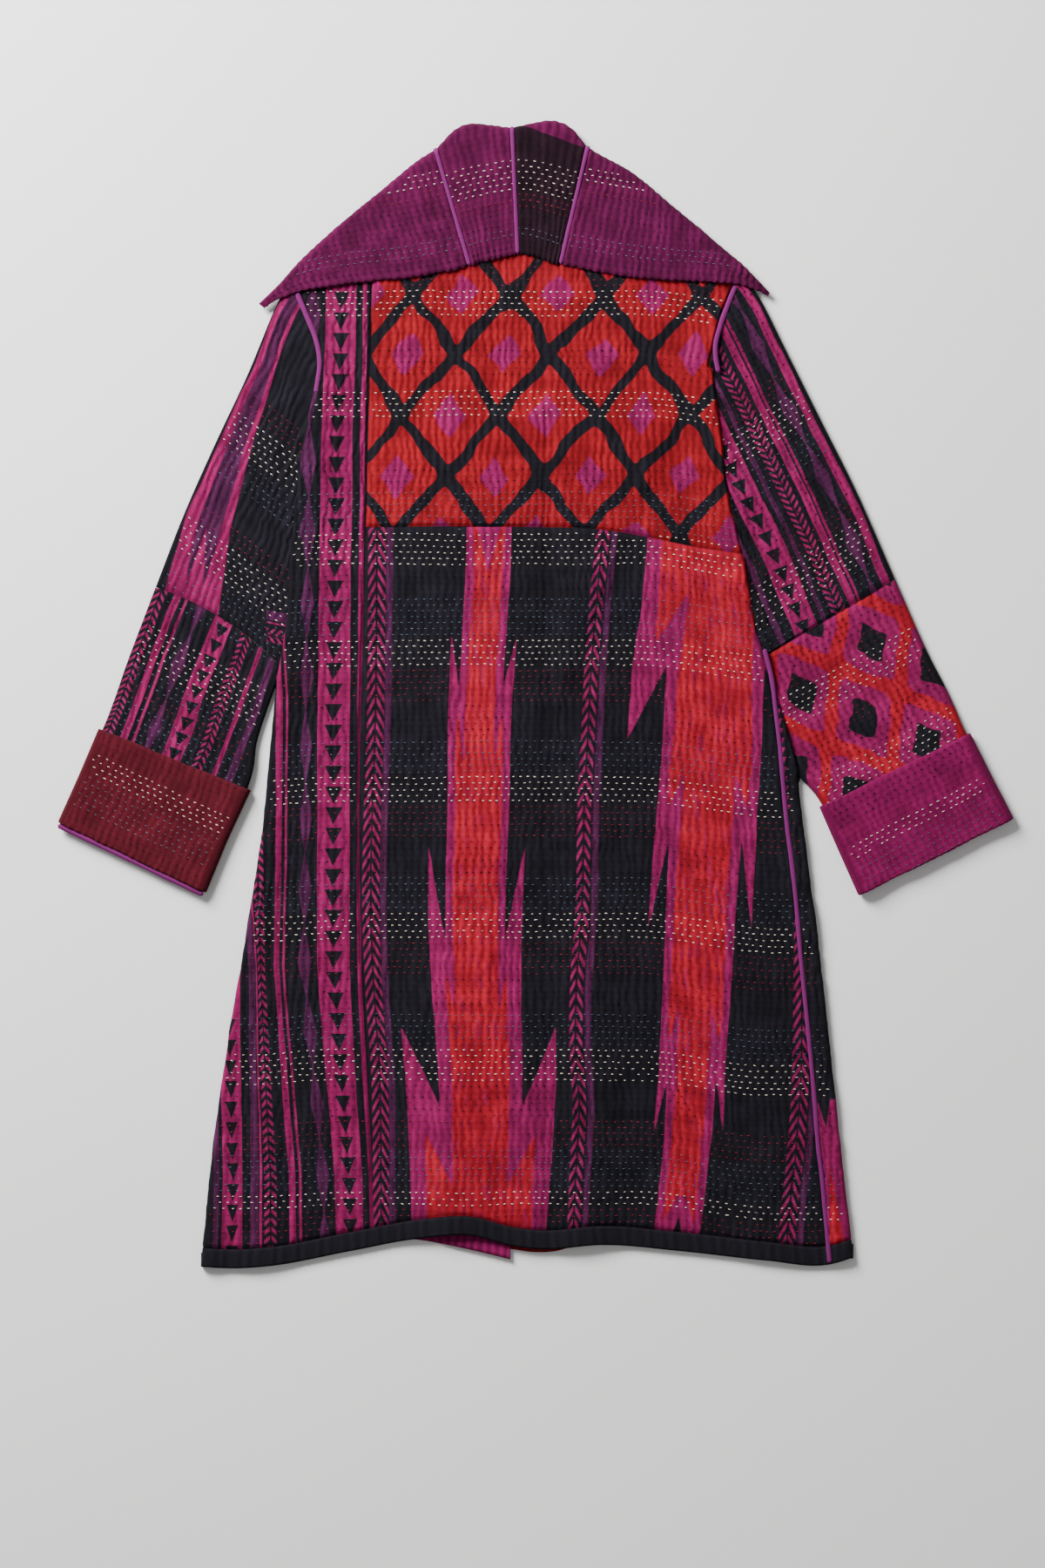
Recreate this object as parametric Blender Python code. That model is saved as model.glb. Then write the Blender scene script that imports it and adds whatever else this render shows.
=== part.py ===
"""A quilted kantha coat, laid flat on its front with its back up.

Metres, +Z up. X runs across the coat, +Y from the hem to the collar, and the coat lies on
Z = 0. Each piece that is cut and sewn is one closed wall of cloth with quilting ripples raised
in its outer side.
"""
import math
from collections import namedtuple

import bmesh
import bpy
import numpy as np

# Driving dimensions
CLOTH = 0.0018  # quilted cloth between its ripples
RIPPLE = 0.0007  # height of a quilting ripple
LAYER = 0.0022  # one cloth and the air over it
SEAM = 0.0003  # gap between two pieces at a seam
ARMHOLE_GAP = 0.0009
HIDDEN_GAP = 0.0045  # between hidden edges under the coat
HEM_BAND = 0.018  # depth of the band along the hem
BACK_TOP = 0.0043  # outer side of the back where nothing lifts it
RETURN = 0.018  # cloth that turns under at a side edge
BLEND_FLAT = 0.008  # a raised edge keeps its height this far in
LAPEL_REACH = 0.014  # a front stays lifted this far past the lapel under it
BACK_REACH = 0.020  # the back stays lifted this far past it
LIFT_SLOPE = 0.020
SLEEVE_BLEND = 0.025  # a sleeve's edges raise it this far in
LEFT_CROTCH = 0.03  # Y where the left sleeve leaves the side of the coat
RIGHT_CROTCH = -0.06
PICK = 6  # the plain inner side has one column for this many outer ones
ROLL_STEPS = 4
EDGE_FADE = 5  # a sleeve's ripples fade over this many columns
LAPEL_STEPS = 12
SETTLE_ROUNDS = 8
UNDERSIDE = (0.8, 0.6, 0.4, 0.2)  # places of the points under a flattened sleeve

# Columns across each piece, two to a ripple
STRIP_COLUMNS = 32
BACK_COLUMNS = 96
SIDE_COLUMNS = 8
SLEEVE_COLUMNS = 44
CUFF_COLUMNS = 44
FRONT_COLUMNS = 16

# Side edges of the coat, from the armholes down
Body = namedtuple("Body", "y left right")
BODY = [
    Body(0.3063, -0.2007, 0.1679),
    Body(0.2849, -0.2085, 0.1711),
    Body(0.2440, -0.2175, 0.1769),
    Body(0.1825, -0.2257, 0.1843),
    Body(0.1292, -0.2307, 0.1974),
    Body(0.0799, -0.2331, 0.2056),
    Body(0.0111, -0.2438, 0.2228),
    Body(-0.0701, -0.2520, 0.2458),
    Body(-0.1086, -0.2553, 0.2499),
    Body(-0.2234, -0.2725, 0.2646),
    Body(-0.3300, -0.2905, 0.2769),
    Body(-0.4096, -0.3020, 0.2851),
    Body(-0.5350, -0.3155, 0.2999),
]

# How each side edge is turned: its height, how far the cloth turns round it in degrees, the
# cloth that lies under it, and how far in the edge raises the back
Edge = namedtuple("Edge", "y height roll under blend")
LEFT_EDGE = [
    Edge(0.3400, 0.0062, 8, 0.0003, 0.030),
    Edge(0.3120, 0.0079, 8, 0.0003, 0.040),
    Edge(0.2900, 0.0084, 25, 0.0003, 0.045),
    Edge(0.0200, 0.0084, 25, 0.0003, 0.045),
    Edge(-0.0180, 0.0070, 180, RETURN, 0.032),
    Edge(-0.5400, 0.0070, 180, RETURN, 0.032),
]
RIGHT_EDGE = [
    Edge(0.3500, 0.0062, 8, 0.0003, 0.030),
    Edge(0.3200, 0.0079, 8, 0.0003, 0.040),
    Edge(0.3000, 0.0084, 25, 0.0003, 0.045),
    Edge(-0.0720, 0.0084, 25, 0.0003, 0.045),
    Edge(-0.1000, 0.0070, 180, RETURN, 0.032),
    Edge(-0.5400, 0.0070, 180, RETURN, 0.032),
]

# Seams and edges of the back
Across = namedtuple("Across", "x y")
SHOULDER = [
    Across(-0.2240, 0.3949), Across(-0.1536, 0.4309), Across(-0.0781, 0.4637),
    Across(-0.0453, 0.4547), Across(-0.0166, 0.4514), Across(0.0137, 0.4547),
    Across(0.0449, 0.4637), Across(0.1187, 0.4325), Across(0.1892, 0.3949),
]
YOKE_SEAM = [
    Across(-0.2400, 0.1570), Across(-0.0125, 0.1578), Across(0.0613, 0.1554),
    Across(0.1105, 0.1472), Across(0.1515, 0.1390), Across(0.1949, 0.1324),
    Across(0.2300, 0.1300),
]
HEM = [
    Across(-0.3159, -0.5383), Across(-0.2864, -0.5400), Across(-0.2487, -0.5375),
    Across(-0.1733, -0.5236), Across(-0.1109, -0.5121), Across(-0.0609, -0.5088),
    Across(-0.0232, -0.5186), Across(0.0022, -0.5219), Across(0.0604, -0.5178),
    Across(0.1334, -0.5236), Across(0.2171, -0.5326), Across(0.2769, -0.5363),
    Across(0.2999, -0.5293),
]
LEFT_FRONT_HEM = [
    Across(-0.2940, -0.5342), Across(-0.2487, -0.5335), Across(-0.1733, -0.5203),
    Across(-0.1191, -0.5129), Across(-0.0855, -0.5178), Across(-0.0404, -0.5277),
    Across(-0.0240, -0.5318),
]
RIGHT_FRONT_HEM = [
    Across(-0.0617, -0.5203), Across(-0.0232, -0.5224), Across(-0.0002, -0.5252),
    Across(0.0219, -0.5236), Across(0.0326, -0.5203), Across(0.0604, -0.5145),
    Across(0.1334, -0.5203), Across(0.2171, -0.5293), Across(0.2780, -0.5300),
]
Down = namedtuple("Down", "y x")
STRIP_SEAM = [
    Down(0.4079, -0.1536), Down(0.1554, -0.1601), Down(-0.2070, -0.1651),
    Down(-0.3415, -0.1585), Down(-0.5203, -0.1519),
]
SIDE_SEAM = [
    Down(0.0447, 0.2138), Down(-0.0184, 0.2253), Down(-0.1013, 0.2339),
    Down(-0.1833, 0.2433), Down(-0.2817, 0.2523), Down(-0.3866, 0.2622),
    Down(-0.5318, 0.2761),
]
# The front edges run straight up to the break, then slope out to the neck
LEFT_FRONT_EDGE = [Down(0.4637, -0.0781), Down(0.1292, -0.0240), Down(-0.5318, -0.0240)]
RIGHT_FRONT_EDGE = [Down(0.4637, 0.0449), Down(0.1292, -0.0617), Down(-0.5318, -0.0617)]

# Places of the rows down the back, as shares of the yoke and of the skirt
YOKE_ROWS = [0.0, 0.12, 0.24, 0.36, 0.46, 0.70, 1.0]
SKIRT_ROWS = [0.0, 0.10, 0.20, 0.26, 0.3134, 0.365, 0.48, 0.60, 0.72, 0.84, 0.92, 1.0]

# Soft folds down the back: where they are at the waist and the hem, and where they begin
Fold = namedtuple("Fold", "waist hem half_width height top")
FOLDS = [
    Fold(-0.2175, -0.2585, 0.045, 0.0022, 0.05),
    Fold(-0.0617, -0.0822, 0.060, 0.0040, 0.20),
    Fold(0.0531, 0.0432, 0.050, 0.0045, 0.10),
    Fold(0.2071, 0.2235, 0.045, 0.0020, 0.00),
]
WAIST_Y = 0.13

# Sections of the sleeves: outer and inner end, bow towards the body, height in the middle and
# at each edge, and how far the section is lifted
Section = namedtuple("Section", "ox oy ix iy bow middle outer inner lift")
LEFT_UPPER = [
    Section(-0.2282, 0.3932, -0.2100, 0.1800, 0.0195, 0.0054, 0.0060, 0.0054, 0),
    Section(-0.2454, 0.3645, -0.2225, 0.1450, 0.010, 0.0046, 0.0062, 0.0054, 0),
    Section(-0.2717, 0.3013, -0.2265, 0.1086, 0.004, 0.0042, 0.0064, 0.0054, 0),
    Section(-0.3028, 0.2349, -0.2290, 0.0759, 0.003, 0.0042, 0.0064, 0.0054, 0),
    Section(-0.3315, 0.1701, -0.2331, 0.0471, 0.006, 0.0042, 0.0064, 0.0054, 0),
    Section(-0.3582, 0.1013, -0.2389, 0.0250, 0.009, 0.0044, 0.0064, 0.0054, 0),
]
LEFT_LOWER = [
    Section(-0.3840, 0.0332, -0.2530, -0.0143, 0.005, 0.0044, 0.0064, 0.0058, 0),
    Section(-0.3971, -0.0045, -0.2626, -0.0447, 0.002, 0.0046, 0.0064, 0.0064, 0.0004),
    Section(-0.4082, -0.0332, -0.2708, -0.0865, 0.0, 0.0052, 0.0064, 0.0064, 0.0021),
    Section(-0.4447, -0.1152, -0.3127, -0.1800, 0.0, 0.0054, 0.0064, 0.0064, 0.0021),
]
RIGHT_UPPER = [
    Section(0.1933, 0.3981, 0.1760, 0.1800, -0.022, 0.0054, 0.0060, 0.0054, 0),
    Section(0.2113, 0.3727, 0.1900, 0.1450, -0.012, 0.0046, 0.0062, 0.0054, 0),
    Section(0.2376, 0.3202, 0.1965, 0.1004, -0.005, 0.0042, 0.0064, 0.0054, 0),
    Section(0.2687, 0.2579, 0.2007, 0.0759, -0.003, 0.0042, 0.0064, 0.0054, 0),
    Section(0.3023, 0.1906, 0.2064, 0.0512, 0.0, 0.0042, 0.0064, 0.0054, 0),
    Section(0.3384, 0.1086, 0.2105, 0.0332, 0.0, 0.0044, 0.0064, 0.0054, 0),
]
RIGHT_LOWER = [
    Section(0.3671, 0.0439, 0.2269, -0.0184, 0.0, 0.0044, 0.0064, 0.0056, 0),
    Section(0.3852, 0.0086, 0.2384, -0.0529, 0.0, 0.0044, 0.0064, 0.0056, 0),
    Section(0.3958, -0.0143, 0.2474, -0.0758, 0.0, 0.0046, 0.0064, 0.0060, 0.0004),
    Section(0.4057, -0.0373, 0.2699, -0.1046, 0.0, 0.0052, 0.0064, 0.0064, 0.0021),
    Section(0.4450, -0.1136, 0.3060, -0.1833, 0.0, 0.0054, 0.0064, 0.0064, 0.0021),
]
LEFT_CUFF = [
    Section(-0.4119, -0.0324, -0.2684, -0.0906, 0.0, 0.0097, 0.0107, 0.0107, 0),
    Section(-0.4307, -0.0767, -0.2905, -0.1382, 0.0, 0.0097, 0.0107, 0.0107, 0),
    Section(-0.4502, -0.1200, -0.3105, -0.1868, 0.0, 0.0097, 0.0107, 0.0107, 0),
]
RIGHT_CUFF = [
    Section(0.4093, -0.0365, 0.2671, -0.1062, 0.0, 0.0097, 0.0107, 0.0107, 0),
    Section(0.4294, -0.0767, 0.2843, -0.1455, 0.0, 0.0097, 0.0107, 0.0107, 0),
    Section(0.4502, -0.1168, 0.3040, -0.1894, 0.0, 0.0097, 0.0107, 0.0107, 0),
]
FOLD_RADIUS = 0.0020  # rounding at the cuff's fold
FOLD_LIP = 0.0016  # cloth past the rounding, over the sleeve's end

# The collar from tip to tip: its fold on top, its loose edge, their heights, how far the cloth
# turns at the fold in degrees, and the cloth that lies under it
Collar = namedtuple("Collar", "tx ty ex ey fold edge roll under")
COLLAR = [
    Collar(-0.2610, 0.3680, -0.2560, 0.3640, 0.0062, 0.0062, 60, 0.0003),
    Collar(-0.2421, 0.3862, -0.2370, 0.3740, 0.0086, 0.0090, 75, 0.0003),
    Collar(-0.2216, 0.4087, -0.2118, 0.3817, 0.0096, 0.0096, 180, 0.0006),
    Collar(-0.1782, 0.4480, -0.1651, 0.3879, 0.0098, 0.0096, 180, 0.0180),
    Collar(-0.1454, 0.4744, -0.1208, 0.3924, 0.0098, 0.0096, 180, 0.0200),
    Collar(-0.1134, 0.5006, -0.0847, 0.3981, 0.0100, 0.0096, 180, 0.0220),
    Collar(-0.0945, 0.5135, -0.0622, 0.4030, 0.0102, 0.0096, 180, 0.0600),
    Collar(-0.0773, 0.5309, -0.0503, 0.4071, 0.0104, 0.0090, 180, 0.0700),
    Collar(-0.0617, 0.5375, -0.0396, 0.4096, 0.0106, 0.0084, 180, 0.0750),
    Collar(-0.0412, 0.5359, -0.0281, 0.4120, 0.0106, 0.0080, 180, 0.0750),
    Collar(-0.0224, 0.5338, -0.0171, 0.4141, 0.0104, 0.0078, 180, 0.0750),
    Collar(-0.0027, 0.5379, -0.0035, 0.4133, 0.0106, 0.0080, 180, 0.0750),
    Collar(0.0170, 0.5400, 0.0080, 0.4096, 0.0106, 0.0086, 180, 0.0750),
    Collar(0.0342, 0.5326, 0.0162, 0.4063, 0.0104, 0.0092, 180, 0.0700),
    Collar(0.0490, 0.5155, 0.0231, 0.4043, 0.0102, 0.0096, 180, 0.0600),
    Collar(0.0686, 0.5039, 0.0465, 0.4002, 0.0100, 0.0096, 180, 0.0220),
    Collar(0.0916, 0.4908, 0.0777, 0.3948, 0.0098, 0.0096, 180, 0.0200),
    Collar(0.1219, 0.4654, 0.1137, 0.3907, 0.0098, 0.0096, 180, 0.0200),
    Collar(0.1597, 0.4342, 0.1547, 0.3887, 0.0098, 0.0096, 180, 0.0160),
    Collar(0.1925, 0.4063, 0.1884, 0.3866, 0.0096, 0.0096, 180, 0.0006),
    Collar(0.2089, 0.3905, 0.2072, 0.3809, 0.0086, 0.0090, 75, 0.0003),
    Collar(0.2205, 0.3780, 0.2185, 0.3752, 0.0062, 0.0062, 60, 0.0003),
]
# Each collar piece: its first and last row in that table, and its columns
Piece = namedtuple("Piece", "name first last columns material")
COLLAR_PIECES = [
    Piece("collar_wing_left", 0, 6, 56, "magenta_cloth"),
    Piece("collar_wedge_left", 6, 10, 20, "magenta_cloth"),
    Piece("collar_wedge_dark", 10, 14, 20, "plum_cloth"),
    Piece("collar_wing_right", 14, 21, 56, "magenta_cloth"),
]

# The lapels lie under the fronts. Each has its top edge along the collar, and a foot
Lapel = namedtuple("Lapel", "name first last foot_x foot_y foot_width")
LAPELS = [
    Lapel("lapel_left", 3.1, 5.0, -0.0810, 0.1350, 0.012),
    Lapel("lapel_right", 15.15, 17.9, 0.0480, 0.1350, 0.012),
]
LIFTED_BY = {
    "lapel_left": [(-0.0700, 0.5100), (-0.1960, 0.4120), (-0.0810, 0.1350)],
    "lapel_right": [(0.0480, 0.1350), (0.1630, 0.4120), (0.0370, 0.5100)],
    "overlap": [(-0.0617, -0.5400), (-0.0240, -0.5400), (-0.0240, 0.2400), (-0.0617, 0.2400)],
}

# Colour and roughness of each cloth
FINISHES = {
    "printed_cloth": ((0.020, 0.012, 0.020), 0.90),
    "lining_fuchsia": ((0.36, 0.020, 0.140), 0.90),
    "lining_red": ((0.30, 0.018, 0.022), 0.90),
    "brick_cloth": ((0.150, 0.012, 0.016), 0.90),
    "magenta_cloth": ((0.240, 0.010, 0.100), 0.90),
    "plum_cloth": ((0.040, 0.010, 0.020), 0.90),
    "band_cloth": ((0.012, 0.011, 0.014), 0.90),
}


def column(table, name):
    return np.array([getattr(row, name) for row in table], float)


def smooth(at, places, values):
    """A cubic curve through (places, values), read at `at`."""
    order = np.argsort(places)
    p, v = np.asarray(places)[order], np.asarray(values)[order]
    slopes = np.gradient(v, p)
    at = np.clip(at, p[0], p[-1])
    i = np.clip(np.searchsorted(p, at) - 1, 0, len(p) - 2)
    h = p[i + 1] - p[i]
    t = (at - p[i]) / h
    rise = v[i] * (2 * t**3 - 3 * t**2 + 1) + v[i + 1] * (3 * t**2 - 2 * t**3)
    return rise + h * (slopes[i] * (t**3 - 2 * t**2 + t) + slopes[i + 1] * (t**3 - t**2))


def straight(at, places, values):
    order = np.argsort(places)
    return np.interp(at, np.asarray(places)[order], np.asarray(values)[order])


def read(table, key, name, at, curve=smooth):
    return curve(at, column(table, key), column(table, name))


def ease(t):
    """0 to 1 with a soft start and end."""
    return 0.5 - 0.5 * np.cos(np.pi * np.clip(t, 0, 1))


def mix(a, b, share):
    return a + (b - a) * share


def section_point(section, share):
    """A place on a section's line, from its outer end (0) to its inner end (1)."""
    outer, inner = np.array([section.ox, section.oy]), np.array([section.ix, section.iy])
    run = inner - outer
    sideways = np.array([-run[1], run[0]]) / np.linalg.norm(run)
    return outer + run * share + sideways * section.bow * 4 * share * (1 - share)


def armhole_x(section, y):
    line = np.array([section_point(section, s) for s in np.linspace(0, 1, 80)])
    return straight(y, line[:, 1], line[:, 0])


def left_edge(y):
    seam = armhole_x(LEFT_UPPER[0], y) + ARMHOLE_GAP
    return np.where(y > BODY[0].y, seam, read(BODY, "y", "left", y))


def right_edge(y):
    seam = armhole_x(RIGHT_UPPER[0], y) - ARMHOLE_GAP
    return np.where(y > BODY[0].y, seam, read(BODY, "y", "right", y))


def edge_at(table, y):
    return {name: read(table, "y", name, y, straight) for name in Edge._fields[1:]}


def outside(polygon, x, y):
    """How far (x, y) lies outside a convex outline."""
    corners = np.array(polygon)
    centre = corners.mean(axis=0)
    depth = np.full(np.shape(x), -1.0)
    for start, end in zip(corners, np.roll(corners, -1, axis=0)):
        run = (end - start) / np.linalg.norm(end - start)
        out = np.array([run[1], -run[0]])
        if np.dot(out, centre - start) > 0:
            out = -out
        depth = np.maximum(depth, (x - start[0]) * out[0] + (y - start[1]) * out[1])
    return depth


def lifted(x, y, reach, names):
    """1 over the named hidden layers, and down to 0 past their edges."""
    share = np.zeros(np.shape(x))
    for name in names:
        share = np.maximum(share, 1 - ease((outside(LIFTED_BY[name], x, y) - reach) / LIFT_SLOPE))
    return share


def folds(x, y):
    height = np.zeros(np.shape(x))
    for fold in FOLDS:
        down = (WAIST_Y - y) / (WAIST_Y - HEM[0].y)
        centre = mix(fold.waist, fold.hem, down)
        grown = ease((fold.top - y) / (fold.top - HEM[0].y))
        height = height + fold.height * grown * (1 - ease(abs(x - centre) / fold.half_width))
    return height


def back_height(x, y):
    """Height of the outer side of the back before its ripples."""
    z = BACK_TOP + LAYER * lifted(x, y, BACK_REACH, LIFTED_BY) + folds(x, y)
    for table, inward in ((LEFT_EDGE, x - left_edge(y)), (RIGHT_EDGE, right_edge(y) - x)):
        edge = edge_at(table, y)
        near = 1 - ease((inward - BLEND_FLAT) / (edge["blend"] - BLEND_FLAT))
        z = mix(z, edge["height"], near)
    return z


def row_y(x, row):
    """Y of a row of the back at x. Rows 0 to 1 are the yoke's and 1 to 2 the skirt's."""
    shoulder, yoke = read(SHOULDER, "x", "y", x, straight), read(YOKE_SEAM, "x", "y", x)
    band = read(HEM, "x", "y", x) + HEM_BAND
    if row <= 1:
        return mix(shoulder, yoke, row)
    return mix(yoke, band, row - 1)


def settle(across, down, share, row):
    """The place that lies both on a column and on a row of the cloth."""
    y = down(share * BODY[0].right, row)
    for _ in range(SETTLE_ROUNDS):
        x = across(share, y)
        y = down(x, row)
    return float(x), float(y)


def roll_centre(table, outline, y, side):
    """X of the centre of the turn at a side edge; side is -1 on the left and 1 on the right."""
    edge = edge_at(table, y)
    turn = math.radians(min(float(edge["roll"]), 90))
    return float(outline(y)) - side * float(edge["height"]) / 2 * math.sin(turn)


def rolled(table, outline, y, side):
    """Points from the end of the turned-under cloth up round a side edge, without the top."""
    edge = {name: float(value) for name, value in edge_at(table, y).items()}
    radius = edge["height"] / 2
    centre = roll_centre(table, outline, y, side)
    turn = math.radians(edge["roll"])
    points = []
    for step in range(ROLL_STEPS, 0, -1):
        angle = turn * step / ROLL_STEPS
        place = centre + side * radius * math.sin(angle), radius + radius * math.cos(angle)
        points.append((place[0], y, max(place[1], 0)))
    end = points[0]
    z = max(end[2] - edge["under"] * math.sin(turn), 0)
    return [(end[0] + side * edge["under"] * math.cos(turn), y, z)] + points


def cloth_normals(base, closed):
    """Outward directions of a grid of points."""
    if closed:
        wide = np.concatenate([base[:, -1:], base, base[:, :1]], axis=1)
        across = (wide[:, 2:] - wide[:, :-2]) / 2
    else:
        across = np.gradient(base, axis=1)
    normals = np.cross(across, np.gradient(base, axis=0))
    return normals / np.linalg.norm(normals, axis=2, keepdims=True)


def draw_in(base, sides, by=SEAM / 2):
    """Moves the named sides of a grid in, for the gap at a seam."""
    ends = {"first": (0, 1), "last": (-1, -2)}
    for axis, end in sides:
        edge, beside = ends[end]
        grid = base if axis == "row" else base.swapaxes(0, 1)
        run = grid[beside] - grid[edge]
        grid[edge] += run / np.linalg.norm(run, axis=1, keepdims=True) * by
    return base


def ripples(rows, columns, fade=None):
    """Ridges two columns wide that run down the rows, a little uneven."""
    row, col = np.mgrid[0:rows, 0:columns]
    uneven = 0.80 + 0.12 * np.sin(1.7 * row + 0.37 * col) + 0.08 * np.sin(0.9 * col - 1.1 * row)
    height = RIPPLE * uneven * (col % 2)
    return height if fade is None else height * fade


def add_wall(name, material, outer, inner, picks, closed):
    """One closed wall: a fine outer grid, a plain inner one with a column at each pick."""
    mesh = bmesh.new()
    fine = [[mesh.verts.new(p) for p in row] for row in outer]
    plain = [[mesh.verts.new(p) for p in row] for row in inner]
    count = len(fine[0])
    spans = [(picks[k], picks[k + 1]) for k in range(len(picks) - 1)]
    if closed:
        spans.append((picks[-1], count + picks[0]))
    for above, below in zip(fine, fine[1:]):
        for k in range(count if closed else count - 1):
            n = (k + 1) % count
            mesh.faces.new((above[k], above[n], below[n], below[k]))
    for above, below in zip(plain, plain[1:]):
        for k in range(len(spans)):
            n = (k + 1) % len(plain[0])
            mesh.faces.new((above[k], below[k], below[n], above[n]))
    for fine_row, plain_row in ((fine[0], plain[0]), (fine[-1], plain[-1])):
        for k, (start, stop) in enumerate(spans):
            n = (k + 1) % len(plain_row)
            middle = (start + stop + 1) // 2
            for c in range(start, stop):
                corner = plain_row[k] if c < middle else plain_row[n]
                mesh.faces.new((corner, fine_row[c % count], fine_row[(c + 1) % count]))
            mesh.faces.new((plain_row[k], fine_row[middle % count], plain_row[n]))
    if not closed:
        for c, k in ((0, 0), (-1, -1)):
            for r in range(len(fine) - 1):
                mesh.faces.new((fine[r][c], fine[r + 1][c], plain[r + 1][k], plain[r][k]))
    bmesh.ops.recalc_face_normals(mesh, faces=mesh.faces)
    add_object(name, material, mesh)


def add_object(name, material, mesh):
    data = bpy.data.meshes.new(name)
    mesh.to_mesh(data)
    mesh.free()
    data.materials.append(finish(material))
    data.shade_smooth()
    data.set_sharp_from_angle(angle=math.radians(40))
    coat.objects.link(bpy.data.objects.new(name, data))


def finish(name):
    if name in bpy.data.materials:
        return bpy.data.materials[name]
    colour, roughness = FINISHES[name]
    material = bpy.data.materials.new(name)
    material.use_nodes = True
    shader = material.node_tree.nodes["Principled BSDF"]
    shader.inputs["Base Color"].default_value = (*colour, 1)
    shader.inputs["Roughness"].default_value = roughness
    shader.inputs["Metallic"].default_value = 0
    return material


def add_cloth(name, material, base, height, picks, closed=False):
    """A wall whose outer side is `base` raised by `height`, and whose inner side is plain."""
    normals = cloth_normals(base, closed)
    outer = base + normals * height[..., None]
    outer[..., 2] = np.maximum(outer[..., 2], 0)
    add_wall(name, material, outer, (base - normals * CLOTH)[:, picks], picks, closed)


def spaced_picks(lead, columns, tail):
    """Every outer column of the turned edges, and every PICKth between them."""
    top = list(range(lead, lead + columns, PICK)) + [lead + columns]
    return list(range(lead)) + top + list(range(lead + columns + 1, lead + columns + tail + 1))


def back_rows(first, last):
    rows = YOKE_ROWS + [1 + share for share in SKIRT_ROWS[1:]]
    return [row for row in rows if first <= row <= last]


def on_back(x, y):
    return x, y, float(back_height(x, y))


def strip_across(share, y):
    start = roll_centre(LEFT_EDGE, left_edge, y, -1)
    return mix(start, read(STRIP_SEAM, "y", "x", y), share)


def main_across(share, y):
    seam = read(STRIP_SEAM, "y", "x", y)
    return mix(seam, back_right(y), share)


def back_right(y):
    """The back ends at the right side edge, and lower down at the side seam."""
    if y > SIDE_SEAM[0].y:
        return roll_centre(RIGHT_EDGE, right_edge, y, 1)
    return min(read(SIDE_SEAM, "y", "x", y), roll_centre(RIGHT_EDGE, right_edge, y, 1))


def side_across(share, y):
    return mix(back_right(y), roll_centre(RIGHT_EDGE, right_edge, y, 1), share)


def add_back_strip():
    base = []
    for row in back_rows(0, 2):
        top = [settle(strip_across, row_y, c / STRIP_COLUMNS, row) for c in range(STRIP_COLUMNS + 1)]
        turned = rolled(LEFT_EDGE, left_edge, top[0][1], -1)
        base.append(turned + [on_back(x, y) for x, y in top])
    base = draw_in(np.array(base)[::-1], [("column", "last"), ("row", "first")])
    lead = ROLL_STEPS + 1
    height = ripples(*base.shape[:2])
    height[:, :lead] = 0
    add_cloth("back_strip_left", "printed_cloth", base, height, spaced_picks(lead, STRIP_COLUMNS, 0))


def add_back_panel(name, first, last, seams):
    base = []
    for row in back_rows(first, last):
        line = [settle(main_across, row_y, c / BACK_COLUMNS, row) for c in range(BACK_COLUMNS + 1)]
        base.append([on_back(x, y) for x, y in line])
    base = draw_in(np.array(base)[::-1], seams)
    picks = spaced_picks(0, BACK_COLUMNS, 0)
    add_cloth(name, "printed_cloth", base, ripples(*base.shape[:2]), picks)


def add_side_strip():
    """The part of the right front that turns round the side edge onto the back."""
    base = []
    rows = [row for row in back_rows(1, 2) if row_y(SIDE_SEAM[0].x, row) < SIDE_SEAM[0].y]
    for row in rows:
        line = [settle(side_across, row_y, c / SIDE_COLUMNS, row) for c in range(SIDE_COLUMNS + 1)]
        turned = rolled(RIGHT_EDGE, right_edge, line[-1][1], 1)
        base.append([on_back(x, y) for x, y in line] + turned[::-1])
    base = draw_in(np.array(base)[::-1], [("column", "first"), ("row", "first")])
    height = ripples(*base.shape[:2])
    height[:, SIDE_COLUMNS:] = 0
    tail = ROLL_STEPS + 1
    add_cloth("front_side_right", "printed_cloth", base, height, spaced_picks(0, SIDE_COLUMNS, tail))


def band_row(share):
    """A line round the coat along the hem band, from its top (0) to the hem (1)."""
    def down(x, _):
        return read(HEM, "x", "y", x) + HEM_BAND * (1 - share)

    parts = [(strip_across, STRIP_COLUMNS), (main_across, BACK_COLUMNS), (side_across, SIDE_COLUMNS)]
    line = []
    for across, columns in parts:
        shares = [c / columns for c in range(0, columns, PICK)]
        line += [settle(across, down, s, 0) for s in shares]
    line.append(settle(side_across, down, 1, 0))
    left = rolled(LEFT_EDGE, left_edge, line[0][1], -1)
    right = rolled(RIGHT_EDGE, right_edge, line[-1][1], 1)[::-1]
    return left + [on_back(x, y) for x, y in line] + right


def add_hem_band():
    base = draw_in(np.array([band_row(1), band_row(0)]), [("row", "last")], 3 * SEAM)
    height = np.zeros(base.shape[:2])
    add_cloth("hem_band", "band_cloth", base, height, list(range(base.shape[1])))


def add_front(name, material, side, hem, edge, under):
    """A front panel on the floor, lifted over the layers under it."""
    def down(x, row):
        if row <= 1:
            return row_y(x, row)
        return mix(row_y(x, 1), read(hem, "x", "y", x), row - 1)

    def across(share, y):
        return mix(side(y), read(edge, "y", "x", y, straight), share)

    base = []
    for row in back_rows(0, 2):
        line = [settle(across, down, c / FRONT_COLUMNS, row) for c in range(FRONT_COLUMNS + 1)]
        base.append([(x, y, LAYER * float(lifted(x, y, LAPEL_REACH, under))) for x, y in line])
    base = np.array(base)
    add_wall(name, material, base, base + np.array([0, 0, CLOTH]), list(range(FRONT_COLUMNS + 1)), False)


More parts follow.
